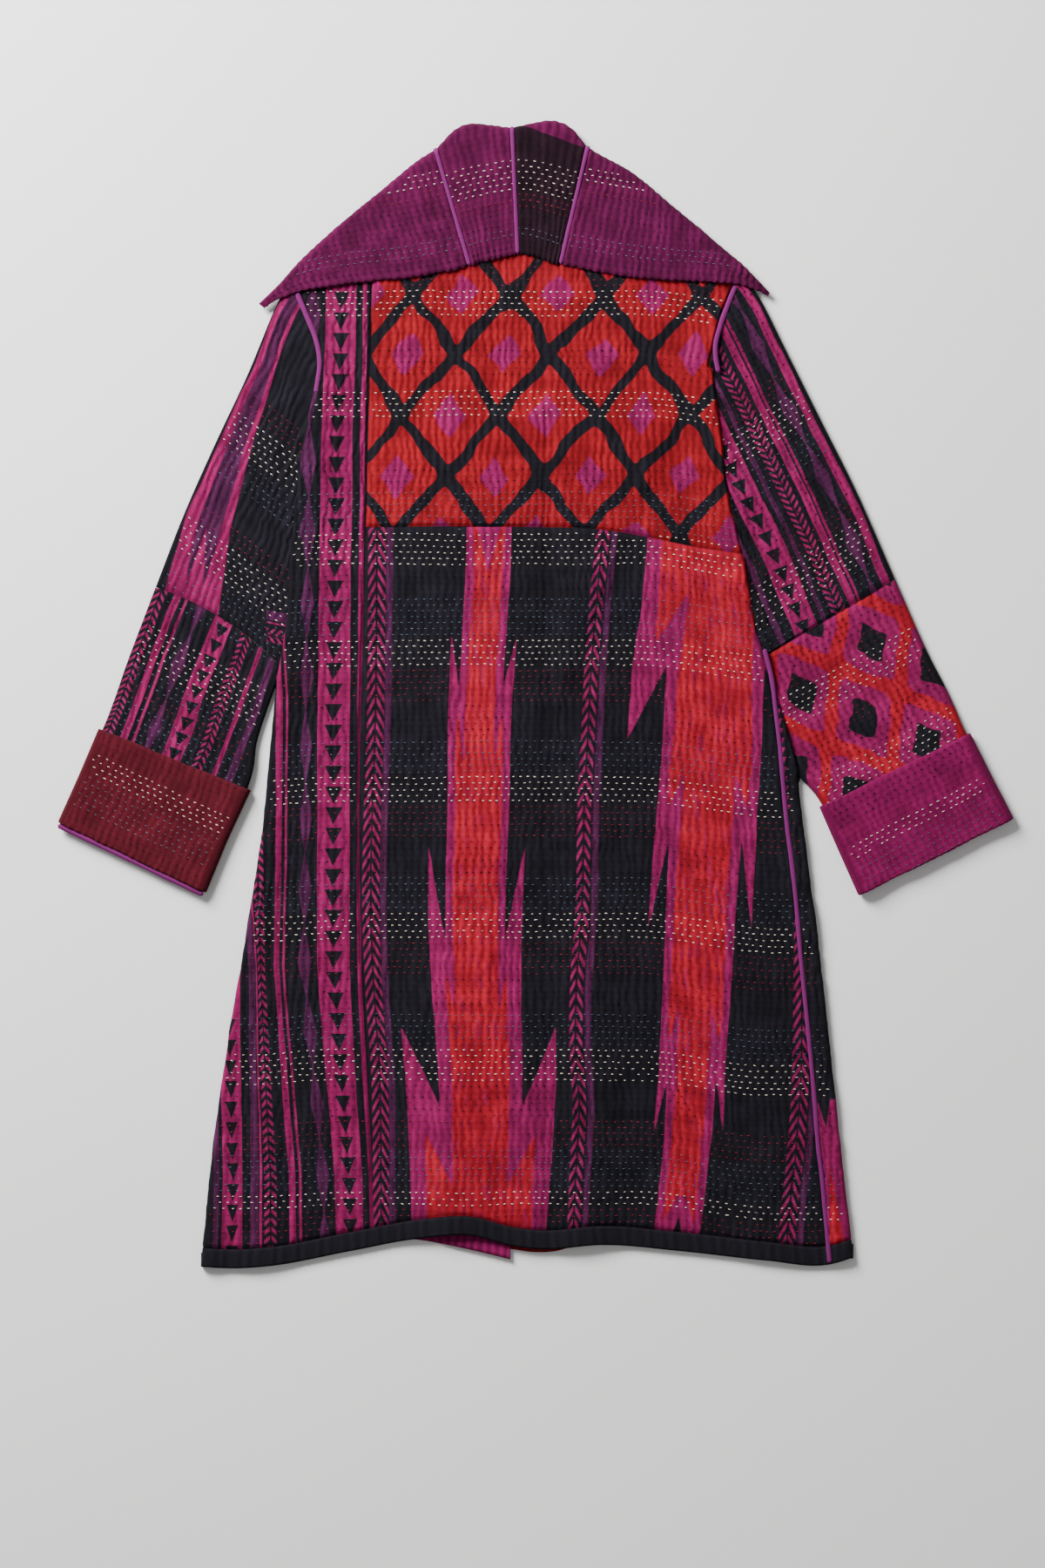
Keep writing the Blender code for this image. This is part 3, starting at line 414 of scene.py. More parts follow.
def row_y(x, row):
    """Y of a row of the back at x. Rows 0 to 1 are the yoke's and 1 to 2 the skirt's."""
    shoulder, yoke = read(SHOULDER, "x", "y", x, straight), read(YOKE_SEAM, "x", "y", x)
    band = read(HEM, "x", "y", x) + HEM_BAND
    return np.where(row <= 1, mix(shoulder, yoke, row), mix(yoke, band, row - 1))


def settle(across, down, share, row):
    """The places that lie both on columns and on rows of the cloth."""
    y = down(share * BODY[0].right, row)
    for _ in range(10):
        x = across(share, y)
        y = down(x, row)
    return x, y


def roll_centre(table, outline, y, side):
    edge = edge_at(table, y)
    turn = np.radians(np.minimum(edge["roll"], 90))
    return outline(y) - side * edge["height"] / 2 * np.sin(turn)


def rolled(table, outline, y, side):
    """Lines of points from the end of the turned-under cloth up round a side edge."""
    edge = edge_at(table, y)
    radius = edge["height"] / 2
    centre = roll_centre(table, outline, y, side)
    turn = np.radians(edge["roll"])
    lines = []
    for step in range(ROLL_STEPS, 0, -1):
        angle = turn * step / ROLL_STEPS
        z = np.maximum(radius + radius * np.cos(angle), LOWEST)
        lines.append(np.stack([centre + side * radius * np.sin(angle), y, z], axis=-1))
    under = []
    for step in range(UNDER_STEPS, 0, -1):
        reach = edge["under"] * step / UNDER_STEPS
        x = lines[0][:, 0] + side * reach * np.cos(turn)
        z = np.maximum(lines[0][:, 2] - reach * np.sin(turn), LOWEST)
        under.append(np.stack([x, y, z], axis=-1))
    return np.stack(under + lines, axis=1)


def back_right(y):
    edge = roll_centre(RIGHT_EDGE, right_edge, y, 1)
    seam = np.minimum(read(SIDE_SEAM, "y", "x", y), edge)
    return np.where(y > SIDE_SEAM[0].y, edge, seam)


def strip_across(share, y):
    return mix(roll_centre(LEFT_EDGE, left_edge, y, -1), read(STRIP_SEAM, "y", "x", y), share)


def main_across(share, y):
    return mix(read(STRIP_SEAM, "y", "x", y), back_right(y), share)


def side_across(share, y):
    return mix(back_right(y), roll_centre(RIGHT_EDGE, right_edge, y, 1), share)


def plan_phase(x, y):
    """Counts the ripples across the back; they fan a little and wander."""
    sizes = bpy.context.scene.coat_sizes
    fan = 1 + 0.09 * (y - WAIST_Y)
    wobble = 0.0026 * lattice(x, y, 0.030, 3) + 0.0011 * lattice(x, y, 0.009, 4)
    return (x * fan + wobble) / sizes.ripple_pitch


def puckers(count, rows, seed):
    """Height of the quilted relief: valleys run through the stitches of every row."""
    shift = 0.4 * STAGGER * (0.5 - 0.5 * np.cos(np.pi * rows))
    strayed = count - shift + 0.20 * lattice(count * 0.9, rows * 0.55, 1.0, seed + 2)
    ridge = abs(np.sin(np.pi * strayed)) ** 1.1
    uneven = 0.72 + 0.40 * lattice(count * 0.8, rows * 0.30, 1.0, seed)
    bumps = 0.34 * lattice(count * 0.45, rows * 0.6, 1.0, seed + 1)
    return bpy.context.scene.coat_sizes.ripple_height * (ridge * uneven + bumps)


def back_slope(x):
    """Rows of stitches sink towards the right side of the back."""
    return -0.0150 * ease((x - 0.090) / 0.14) - 0.004 * ease((-0.17 - x) / 0.10)


def back_rows(x, y):
    """Counts the rows of stitches down the back."""
    sizes = bpy.context.scene.coat_sizes
    level = y - back_slope(x) - 0.0011 * lattice(x, y, 0.05, 21)
    return (chart_y(FIRST_ROW) - level) / sizes.row_pitch


def slanted_rows(x, y, degrees, start):
    """Counts rows of stitches that fall to the right by so many degrees."""
    sizes = bpy.context.scene.coat_sizes
    turn = math.radians(degrees)
    away = -(x - start[0]) * math.sin(turn) - (y - start[1]) * math.cos(turn)
    return (away + 0.0011 * lattice(x, y, 0.05, 23)) / sizes.row_pitch


def seam_dip(distance):
    return -0.0012 * (1 - ease(distance / 0.0032))


def normals_of(grid, closed=False):
    if closed:
        wide = np.concatenate([grid[:, -1:], grid, grid[:, :1]], axis=1)
        across = (wide[:, 2:] - wide[:, :-2]) / 2
    else:
        across = np.gradient(grid, axis=1)
    normals = np.cross(across, np.gradient(grid, axis=0))
    length = np.linalg.norm(normals, axis=2, keepdims=True)
    return normals / np.maximum(length, 1e-12)


def outward(grid, closed=False):
    """The directions that point out of the cloth, whichever way its rows run."""
    normals = normals_of(grid, closed)
    height = grid[..., 2] - grid[..., 2].mean() if closed else 1.0
    return normals if (normals[..., 2] * height).sum() > 0 else -normals


def sample(grid, row, col):
    """Points between the points of a grid."""
    row = np.clip(row, 0, grid.shape[0] - 1.001)
    col = np.clip(col, 0, grid.shape[1] - 1.001)
    i, j = row.astype(int), col.astype(int)
    s, t = (row - i)[:, None], (col - j)[:, None]
    upper = mix(grid[i, j], grid[i, j + 1], t)
    return mix(upper, mix(grid[i + 1, j], grid[i + 1, j + 1], t), s)


def add_mesh(name, points, quads, material, facts=None, tris=None):
    mesh = bpy.data.meshes.new(name)
    points = np.asarray(points, np.float32).reshape(-1, 3)
    loops = [np.asarray(quads, np.int32).reshape(-1, 4)]
    sizes = [4] * len(loops[0])
    flat = loops[0].ravel()
    if tris is not None:
        tris = np.asarray(tris, np.int32).reshape(-1, 3)
        flat = np.concatenate([flat, tris.ravel()])
        sizes += [3] * len(tris)
    sizes = np.array(sizes, np.int32)
    mesh.vertices.add(len(points))
    mesh.vertices.foreach_set("co", points.ravel())
    mesh.loops.add(len(flat))
    mesh.loops.foreach_set("vertex_index", flat)
    mesh.polygons.add(len(sizes))
    starts = np.concatenate([[0], np.cumsum(sizes)[:-1]]).astype(np.int32)
    mesh.polygons.foreach_set("loop_start", starts)
    mesh.update(calc_edges=True)
    mesh.validate()
    for fact, values in (facts or {}).items():
        layer = mesh.attributes.new(fact, "FLOAT", "POINT")
        layer.data.foreach_set("value", np.asarray(values, np.float32).ravel())
    mesh.materials.append(material)
    mesh.shade_smooth()
    piece = bpy.data.objects.new(name, mesh)
    bpy.context.scene.collection.objects.link(piece)
    return piece


def grid_quads(rows, cols, closed=False):
    index = np.arange(rows * cols).reshape(rows, cols)
    if closed:
        index = np.concatenate([index, index[:, :1]], axis=1)
    corners = [index[:-1, :-1], index[:-1, 1:], index[1:, 1:], index[1:, :-1]]
    return np.stack(corners, axis=-1).reshape(-1, 4)


def add_shell(name, grid, material, facts, closed=False):
    """Thin cloth over a grid of points, its faces turned outward."""
    quads = grid_quads(grid.shape[0], grid.shape[1], closed)
    if np.array_equal(outward(grid, closed), normals_of(grid, closed)):
        quads = quads[:, ::-1]
    return add_mesh(name, grid, quads, material, facts)


def add_plate(name, grid, thick, material, facts):
    """A flat piece of cloth with both its sides and its edge; `grid` is the upper side."""
    rows, cols = grid.shape[:2]
    lower = grid.copy()
    lower[..., 2] = np.maximum(grid[..., 2] - thick, LOWEST)
    top = grid_quads(rows, cols)
    count = rows * cols
    index = np.arange(count).reshape(rows, cols)
    rim = np.concatenate([index[0, :], index[1:, -1], index[-1, -2::-1], index[-2:0:-1, 0]])
    after = np.roll(rim, -1)
    side = np.stack([rim, after, after + count, rim + count], axis=-1)
    quads = np.concatenate([top, top[:, ::-1] + count, side[:, ::-1]])
    if normals_of(grid)[..., 2].sum() >= 0:
        quads = quads[:, ::-1]
    doubled = {key: np.concatenate([np.ravel(v), np.ravel(v)]) for key, v in facts.items()}
    points = np.concatenate([grid.reshape(-1, 3), lower.reshape(-1, 3)])
    return add_mesh(name, points, quads, material, doubled)


def laid(piece, node, area):
    """Attaches a piece of cloth that lies on the surface to the root and hides the solid it stands for."""
    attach(piece, "root")
    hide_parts(node)


def area_of(grid):
    a, b = grid[1:, 1:] - grid[:-1, :-1], grid[1:, :-1] - grid[:-1, 1:]
    return float(np.linalg.norm(np.cross(a, b), axis=2).sum() / 2)


def cut_of(grid, width, length):
    """The flat area of a cut that isn't a rectangle, before the quilting ripples."""
    return float(min(max(area_of(grid), 0.31 * width * length), width * length))


# Woven spears of the skirt, drawn by rule on each side of a centre line: half widths of the
# cloth between `top` and `bottom`, measured from the centre line
Spear = namedtuple("Spear", "top top_in top_out bottom bottom_in bottom_out")
Line = namedtuple("Line", "v u")
FIRST_CENTRE = [Line(605, 562), Line(666, 560), Line(732, 556), Line(820, 551), Line(896, 550),
                Line(1060, 546), Line(1141, 547.5), Line(1240, 552), Line(1350, 551.5), Line(1420, 550)]
FIRST_FUCHSIA = [
    Spear(560, -60, 26, 800, -60, 25), Spear(731, 37, 38, 792, 25, 36.5),
    Spear(792, -60, 36.5, 1085, -60, 34), Spear(972, 55, 56, 1080, 34, 53),
    Spear(1080, -60, 53, 1275, -60, 47), Spear(1180, 88, 89, 1271, 47, 85),
    Spear(1271, -60, 85, 1450, -60, 75),
]
FIRST_RED = [
    Spear(590, 17, 19, 659, 0, 16), Spear(659, -60, 16, 890, -60, 17.5), Spear(815, 25.5, 26.5, 890, 17, 27),
    Spear(890, -60, 27, 1165, -60, 25), Spear(1117, 34, 35, 1163, 25, 34.5),
    Spear(1163, -60, 34.5, 1366, -60, 31), Spear(1302, 63, 64, 1361, 31, 61),
    Spear(1361, -60, 61, 1450, -60, 60),
]
SECOND_CENTRE = [Line(600, 833), Line(692, 829), Line(762, 822), Line(847, 818), Line(947, 811),
                 Line(1060, 804), Line(1103, 802), Line(1205, 796), Line(1297, 790.5), Line(1350, 785),
                 Line(1420, 777)]
SECOND_FUCHSIA = [
    Spear(560, -60, 86, 762, -60, 95), Spear(755, 52, 95, 848, 97, 98), Spear(755, -60, 56, 962, -60, 58),
    Spear(958, 41, 58.5, 1064, 58.5, 59.5), Spear(955, -60, 41.5, 1240, -60, 38),
    Spear(1235, 27.5, 38, 1298, 39, 40), Spear(1232, -60, 28, 1450, -60, 26),
]
SECOND_RED = [
    Spear(560, -60, 72, 678, -60, 73), Spear(676, 36, 73, 736, 71, 73), Spear(676, -60, 38, 890, -60, 47),
    Spear(884, 28, 47, 926, 44, 45), Spear(884, -60, 29, 1160, -60, 31),
    Spear(1155, 18, 31, 1195, 29, 30), Spear(1155, -60, 18, 1372, -60, 18), Spear(1362, 1, 18, 1402, 17, 18),
]
SECOND_NOTCH = [Spear(1397, -60, 0.2, 1430, -60, 9.5)]
FAR_OUT = -30.0  # depth of a place that is nowhere near a spear

# The columns of chevrons: where they run, and where they are drawn in the cloth
CHEVRON_PLACES = (430.0, 670.0, 910.0)
CHEVRON_CENTRES = [
    [Line(600, 432), Line(800, 430.5), Line(1077, 425.6), Line(1160, 430), Line(1215, 434), Line(1420, 437)],
    [Line(600, 694), Line(692, 685), Line(769, 679), Line(845, 675), Line(922, 671), Line(1052, 668),
     Line(1129, 662), Line(1205, 661), Line(1269, 665), Line(1350, 661), Line(1420, 658)],
    [Line(600, 930), Line(1162, 921), Line(1231, 920), Line(1294, 916), Line(1331, 913), Line(1382, 907),
     Line(1430, 903)],
]

# The striped strip: where each stripe runs at each height, and where it is drawn in the cloth
STRIPE_PLACES = (200.0, 249.0, 267.5, 292.5, 310.5, 335.5, 345.0, 371.0, 400.0, 425.5, 431.0)
Stripes = namedtuple("Stripes", "v places")
STRIPES = [
    Stripes(320, (150, 199, 222, 252, 272, 300, 311, 361, 391, 420, 424)),
    Stripes(400, (150, 199, 222, 252, 272, 300, 311, 360, 390, 419.5, 423)),
    Stripes(500, (150, 199, 222, 252, 272, 300, 311, 356, 385, 417, 422)),
    Stripes(600, (150, 199, 222, 252, 272, 309, 318, 355, 383.5, 416, 421)),
    Stripes(800, (160, 215, 238, 268, 288, 322, 330, 351, 381, 414, 418)),
    Stripes(1000, (185, 235, 258, 281, 296, 320, 328, 350, 381.5, 413, 416)),
    Stripes(1110, (195, 245, 262, 291, 299.5, 317, 325, 349, 381.5, 413, 417)),
    Stripes(1240, (198, 247, 265, 291, 305, 327, 336, 361, 391, 419, 424)),
    Stripes(1350, (200, 249, 267.5, 292.5, 310.5, 335.5, 345, 371, 400, 426, 430)),
    Stripes(1460, (200, 246, 266, 291, 311, 337, 346, 374, 402, 428, 433)),
]


def centre_at(line, v):
    return read(line, "v", "u", v)


def spears(chart, centre, u, v):
    """How far inside the woven spears each place is, in squares."""
    aside = abs(u - centre_at(centre, v))
    depth = np.full(np.shape(u), FAR_OUT)
    for spear in chart:
        share = np.clip((v - spear.top) / (spear.bottom - spear.top), 0, 1)
        inner, outer = mix(spear.top_in, spear.bottom_in, share), mix(spear.top_out, spear.bottom_out, share)
        past = np.maximum(spear.top - v, v - spear.bottom)
        inside = np.minimum(np.minimum(aside - inner, outer - aside), -past + 0.5)
        depth = np.maximum(depth, inside)
    return depth


def carried(u, lines, places):
    """U carried to where the lines on either side of it are drawn in the cloth."""
    result = places[0] + (u - lines[0])
    for k in range(len(places) - 1):
        share = (u - lines[k]) / (lines[k + 1] - lines[k])
        result = np.where(u >= lines[k], mix(places[k], places[k + 1], share), result)
    return np.where(u >= lines[-1], places[-1] + (u - lines[-1]), result)


def chevron_place(u, v):
    return carried(u, [centre_at(line, v) for line in CHEVRON_CENTRES], CHEVRON_PLACES)


def strip_place(u, v):
    heights = column(STRIPES, "v")
    places = np.array([row.places for row in STRIPES], float)
    return carried(u, [straight(v, heights, places[:, k]) for k in range(len(STRIPE_PLACES))], STRIPE_PLACES)


def chart_facts(x, y):
    """Places of the skirt's cloth on its charts."""
    u, v = on_chart(x, y)
    return {
        "fuchsia": np.minimum(np.maximum(spears(FIRST_FUCHSIA, FIRST_CENTRE, u, v),
                                         spears(SECOND_FUCHSIA, SECOND_CENTRE, u, v)),
                              -spears(SECOND_NOTCH, SECOND_CENTRE, u, v)),
        "red": np.maximum(spears(FIRST_RED, FIRST_CENTRE, u, v), spears(SECOND_RED, SECOND_CENTRE, u, v)),
        "across": chevron_place(u, v),
        "down": v,
    }


def web_colour(code):
    """A colour given as its web code, as the shader wants it."""
    parts = [int(code[k:k + 2], 16) / 255 for k in (1, 3, 5)]
    return tuple(p / 12.92 if p <= 0.04045 else ((p + 0.055) / 1.055) ** 2.4 for p in parts)


def colour(name):
    return tuple(getattr(bpy.context.scene.coat_colours, name))


# A stripe of a print: its middle and half width in squares of the chart, and its colour
Stripe = namedtuple("Stripe", "centre half shade")
# A column of chevrons: its middle, half width and pitch, and how far right of it a plum stripe runs
Chevrons = namedtuple("Chevrons", "centre half pitch plum")
SKIRT_CHEVRONS = [Chevrons(431, 9.8, 14.7, 14), Chevrons(670, 7.6, 15.3, 13), Chevrons(910, 9.6, 15.0, 15)]
STRIP_STRIPES = [
    Stripe(249, 3, "plum"), Stripe(267.5, 11.5, "fuchsia"), Stripe(292.5, 4.5, "plum"),
    Stripe(300, 1.4, "fuchsia"), Stripe(335.5, 3.8, "fuchsia"), Stripe(345, 1.5, "fuchsia"),
    Stripe(400, 16, "fuchsia"), Stripe(425.5, 2.6, "fuchsia"),
]
RIGHT_UPPER_STRIPES = [
    Stripe(7, 5, "fuchsia"), Stripe(44, 1.6, "fuchsia"), Stripe(52, 4.4, "fuchsia"),
    Stripe(88, 2.6, "plum"), Stripe(112, 15, "fuchsia"), Stripe(144, 4, "plum"),
]
LEFT_LOWER_STRIPES = [
    Stripe(27, 4.0, "fuchsia"), Stripe(38, 1.6, "fuchsia"), Stripe(86, 11.5, "fuchsia"),
    Stripe(139, 2.6, "fuchsia"), Stripe(157, 4, "plum"),
]
# The yoke's trellis: where one diamond has its middle, the steps to the next ones and the slant
TRELLIS_U, TRELLIS_V = 530.18, 338
TRELLIS_ACROSS, TRELLIS_DOWN = 110.0, 69.5
TRELLIS_SLANT = 0.09
# The lattice of the right lower sleeve: where one diamond has its middle, and two steps of it
LATTICE_U, LATTICE_V = 992, 824
LATTICE_STEPS = ((72, 29), (-9, 87))


class Dyeing:
    """Puts together the nodes of one cloth."""

    def __init__(self, name, rough=0.92, sheen=0.02):
        self.material = bpy.data.materials.new(name)
        self.material.use_nodes = True
        self.tree = self.material.node_tree
        self.shader = self.tree.nodes["Principled BSDF"]
        self.shader.inputs["Roughness"].default_value = rough
        self.shader.inputs["Sheen Weight"].default_value = sheen
        self.shader.inputs["Sheen Roughness"].default_value = 0.55
        self.shader.inputs["Specular IOR Level"].default_value = 0.05
        self.plan = self.node("ShaderNodeTexCoord").outputs["Object"]

    def node(self, kind, **settings):
        made = self.tree.nodes.new(kind)
        for key, value in settings.items():
            setattr(made, key, value)
        return made

    def put(self, socket, value):
        if isinstance(value, bpy.types.NodeSocket):
            self.tree.links.new(value, socket)
        elif isinstance(value, tuple):
            socket.default_value = (*value, 1)[:len(socket.default_value)]
        else:
            socket.default_value = value

    def sum(self, kind, *values):
        """A Math node of that kind."""
        made = self.node("ShaderNodeMath", operation=kind)
        for socket, value in zip(made.inputs, values):
            self.put(socket, value)
        return made.outputs[0]

    def less(self, a, b):
        return self.sum("SUBTRACT", a, b)

    def times(self, a, b):
        return self.sum("MULTIPLY", a, b)

    def scaled(self, value, factor, added):
        return self.sum("MULTIPLY_ADD", value, factor, added)

    def fact(self, name):
        return self.node("ShaderNodeAttribute", attribute_name=name).outputs["Fac"]

    def chart(self, u=0.0, v=0.0):
        """Squares of the chart to the right of u and down from v, in plan."""
        made = self.node("ShaderNodeSeparateXYZ")
        self.put(made.inputs[0], self.plan)
        x, y, _ = made.outputs
        return self.scaled(x, 1 / SQUARE, CHART_X - u), self.scaled(y, -1 / SQUARE, CHART_Y - v)

    def noise(self, x, y, z, detail):
        """Unevenness from -1 to 1; x, y and z are how many bumps to a metre."""
        stretched = self.node("ShaderNodeMapping")
        self.put(stretched.inputs["Vector"], self.plan)
        stretched.inputs["Scale"].default_value = (x, y, z)
        made = self.node("ShaderNodeTexNoise")
        self.put(made.inputs["Vector"], stretched.outputs[0])
        made.inputs["Scale"].default_value = 1.0
        made.inputs["Detail"].default_value = detail
        return self.scaled(made.outputs["Fac"], 2.4, -1.2)

    def inside(self, depth, soft):
        made = self.node("ShaderNodeMapRange", interpolation_type="SMOOTHSTEP")
        self.put(made.inputs["Value"], depth)
        made.inputs["From Min"].default_value = -soft
        made.inputs["From Max"].default_value = soft
        return made.outputs[0]

    def over(self, below, share, above):
        made = self.node("ShaderNodeMix", data_type="RGBA")
        self.put(made.inputs[0], share)
        self.put(made.inputs[6], below)
        self.put(made.inputs[7], above)
        return made.outputs[2]

    def aside(self, place, centre):
        return self.sum("ABSOLUTE", self.less(place, centre))

    def stripe(self, place, centre, half, soft=0.5):
        return self.inside(self.less(half, self.aside(place, centre)), soft)

    def stripes(self, below, place, stripes):
        shade = below
        for stripe in stripes:
            shade = self.over(shade, self.stripe(place, stripe.centre, stripe.half), colour(stripe.shade))
        return shade

    def teeth(self, place, down, centre, half, pitch, start=0.0):
        """A column of triangles that point down."""
        turn = self.sum("FRACT", self.sum("DIVIDE", self.less(down, start), pitch))
        reach = self.scaled(self.less(1.0, turn), half * 1.18, -0.18 * half)
        return self.inside(self.less(reach, self.aside(place, centre)), 0.7)

    def chain(self, place, down, centre, half, pitch, start):
        """A column of long diamonds joined at their tips."""
        turn = self.sum("PINGPONG", self.less(down, start), pitch / 2)
        reach = self.scaled(turn, 2 * half / pitch, 0.6)
        return self.inside(self.less(reach, self.aside(place, centre)), 0.7)

    def chevrons(self, place, down, centre, half, pitch, slope=0.9):
        """A column of arrowheads one under the other, which point up or, with a slope below 0, down."""
        aside = self.aside(place, centre)
        slanted = self.sum("ADD", down, self.times(aside, -slope))
        turn = self.sum("FRACT", self.sum("DIVIDE", slanted, pitch))
        line = self.stripe(turn, 0.5, 0.23, 0.07)
        spine = self.inside(self.less(aside, 0.9), 0.4)
        edge = self.inside(self.less(half, aside), 0.6)
        return self.times(self.times(line, edge), spine)

    def rounded(self, a, b, power=11.0):
        """The larger of two distances, with the corner between them rounded."""
        total = self.sum("ADD", self.sum("POWER", a, power), self.sum("POWER", b, power))
        return self.sum("POWER", total, 1 / power)

    def toned(self, shade, value):
        """Puts a colour, made lighter or darker, on the shader."""
        made = self.node("ShaderNodeHueSaturation")
        self.put(made.inputs["Value"], value)
        self.put(made.inputs["Color"], shade)
        self.put(self.shader.inputs["Base Color"], made.outputs[0])

    def bumped(self, height, strength, distance):
        made = self.node("ShaderNodeBump")
        made.inputs["Strength"].default_value = strength
        made.inputs["Distance"].default_value = distance
        self.put(made.inputs["Height"], height)
        self.put(self.shader.inputs["Normal"], made.outputs[0])

    def done(self, shade):
        """Fading, painted shade in the valleys with lighter worn ridges, and the weave, over any colour."""
        fade = self.scaled(self.noise(38, 22, 38, 3), 0.08, 1.0)
        # painted shade: darker where the ripples sink and lighter on their ridges, partly wear
        valley_shade_and_wear = self.scaled(self.fact("ridge"), 0.62, -0.30)
        slub = self.times(self.noise(900, 130, 300, 1), 0.05)
        self.toned(shade, self.sum("ADD", self.sum("ADD", fade, valley_shade_and_wear), slub))
        waves = []
        for direction in "XY":
            wave = self.node("ShaderNodeTexWave", wave_type="BANDS", bands_direction=direction,
                             wave_profile="SIN")
            self.put(wave.inputs["Vector"], self.plan)
            wave.inputs["Scale"].default_value = 420.0
            wave.inputs["Distortion"].default_value = 1.2
            wave.inputs["Detail Scale"].default_value = 3.0
            waves.append(wave.outputs["Fac"])
        crease = self.times(self.noise(240, 120, 240, 3), 1.1)
        dent = self.times(self.sum("COSINE", self.times(self.fact("rows"), 2 * math.pi)), -0.25)
        height = self.sum("ADD", dent, self.sum("ADD", self.times(*waves), crease))
        self.bumped(height, 0.75, 0.00030)
        return self.material


def plain_cloth(name, shade):
    return Dyeing(name).done(colour(shade))


def streaked(dye, ground, depth_fuchsia, depth_red):
    """Spears whose dye has run along the warp: feathered edges, and fuchsia threads in the red."""
    run = dye.noise(520, 22, 100, 2)
    fuchsia = dye.inside(dye.scaled(run, 0.9, depth_fuchsia), 0.6)
    red = dye.inside(dye.scaled(run, 1.6, depth_red), 0.6)
    threads = dye.inside(dye.less(dye.noise(620, 46, 100, 1), 0.34), 0.14)
    shade = dye.over(ground, fuchsia, colour("fuchsia"))
    return dye.over(shade, dye.times(red, dye.scaled(threads, -0.75, 1.0)), colour("red"))


def skirt_cloth():
    dye = Dyeing("printed_skirt")
    across, down = dye.fact("across"), dye.fact("down")
    shade = colour("black")
    for line in SKIRT_CHEVRONS:
        shade = dye.over(shade, dye.stripe(across, line.centre + line.plum, 3.4, 1.4), colour("plum"))
        heads = dye.chevrons(across, down, line.centre, line.half, line.pitch, 1.85)
        shade = dye.over(shade, heads, colour("fuchsia"))
    return dye.done(streaked(dye, shade, dye.fact("fuchsia"), dye.fact("red")))


def yoke_cloth():
    """Red diamonds with fuchsia middles, between wobbly black lines."""
    dye = Dyeing("printed_yoke")
    u, v = dye.chart(TRELLIS_U, TRELLIS_V)
    wave_u = dye.times(dye.noise(24, 24, 10, 1), 9.0)
    wave_v = dye.times(dye.noise(26, 22, 12, 1), 0.12)
    half_down = dye.times(dye.scaled(v, 1 / TRELLIS_DOWN, wave_v), 0.5)
    along = dye.times(dye.sum("ADD", dye.scaled(v, TRELLIS_SLANT, u), wave_u), 1 / TRELLIS_ACROSS)
    far = [dye.sum("PINGPONG", dye.sum(kind, along, half_down), 0.5) for kind in ("ADD", "SUBTRACT")]
    reach = dye.scaled(dye.noise(100, 100, 50, 2), 0.014, dye.rounded(*far, 16.0))
    shade = dye.over(colour("fuchsia"), dye.inside(dye.less(reach, 0.170), 0.008), colour("yoke_red"))
    return dye.done(dye.over(shade, dye.inside(dye.less(reach, 0.425), 0.008), colour("black")))


def strip_cloth():
    dye = Dyeing("printed_strip")
    down = dye.fact("down")
    place = dye.scaled(dye.noise(60, 14, 20, 1), 0.9, dye.fact("across"))
    shade = dye.stripes(colour("black"), place, STRIP_STRIPES)
    shade = dye.over(shade, dye.teeth(place, down, 267.5, 7, 23.65, 11.0), colour("black"))
    shade = dye.over(shade, dye.teeth(place, down, 401, 8.5, 23.65, 4.2), colour("black"))
    shade = dye.over(shade, dye.chain(place, down, 371, 7, 82, 570), colour("plum"))
    return dye.done(dye.over(shade, dye.chevrons(place, down, 310.5, 7, 10.4), colour("fuchsia")))


def side_cloth():
    """The right front's turned edge: black, then fuchsia and red towards the hem."""
    dye = Dyeing("printed_side")
    across, down = dye.fact("across"), dye.fact("down")
    marks = dye.times(dye.teeth(across, down, 2, 5, 11.0), dye.stripe(down, 865, 62, 4))
    shade = dye.over(colour("black"), marks, colour("fuchsia"))
    middle, notch_end, notch_slope, red_start, red_slope = 11, 1294, 0.24, 1335, 0.09
    aside = dye.aside(across, middle)
    notch = dye.inside(dye.less(dye.scaled(down, -notch_slope, notch_end * notch_slope), aside), 0.8)
    low = dye.times(dye.inside(dye.less(down, 1262), 2.0), dye.less(1.0, notch))
    shade = dye.over(shade, low, colour("fuchsia"))
    red = dye.less(dye.scaled(down, red_slope, -red_start * red_slope), aside)
    return dye.done(dye.over(shade, dye.inside(red, 0.8), colour("red")))


def right_upper_cloth():
    """Stripes that run down the right sleeve; `across` counts from its outer edge."""
    dye = Dyeing("printed_sleeve_right_upper")
    down = dye.fact("down")
    place = dye.scaled(dye.noise(28, 20, 20, 1), 2.4, dye.fact("across"))
    shade = dye.stripes(colour("black"), place, RIGHT_UPPER_STRIPES)
    shade = dye.over(shade, dye.teeth(place, down, 113, 8.5, 22, 4.0), colour("black"))
    shade = dye.over(shade, dye.chain(place, down, 24, 7.5, 84, 20), colour("plum"))
    return dye.done(dye.over(shade, dye.chevrons(place, down, 70, 8, 8.2, -0.9), colour("fuchsia")))


def right_lower_cloth():
    """Fuchsia diamonds with black middles, in a red lattice."""
    dye = Dyeing("printed_sleeve_right_lower")
    u, v = dye.chart(LATTICE_U, LATTICE_V)
    u = dye.scaled(dye.noise(40, 40, 10, 2), 6.0, u)
    v = dye.scaled(dye.noise(36, 44, 12, 2), 6.0, v)
    (first_u, first_v), (second_u, second_v) = LATTICE_STEPS
    area = first_u * second_v - first_v * second_u
    counts = (
        dye.scaled(u, second_v / area, dye.times(v, -second_u / area)),
        dye.scaled(u, -first_v / area, dye.times(v, first_u / area)),
    )
    far = [dye.sum("PINGPONG", count, 0.5) for count in counts]
    reach = dye.scaled(dye.noise(90, 90, 50, 1), 0.014, dye.rounded(*far))
    shade = dye.over(colour("black"), dye.inside(dye.less(reach, 0.205), 0.012), colour("fuchsia"))
    return dye.done(dye.over(shade, dye.inside(dye.less(reach, 0.405), 0.012), colour("red")))


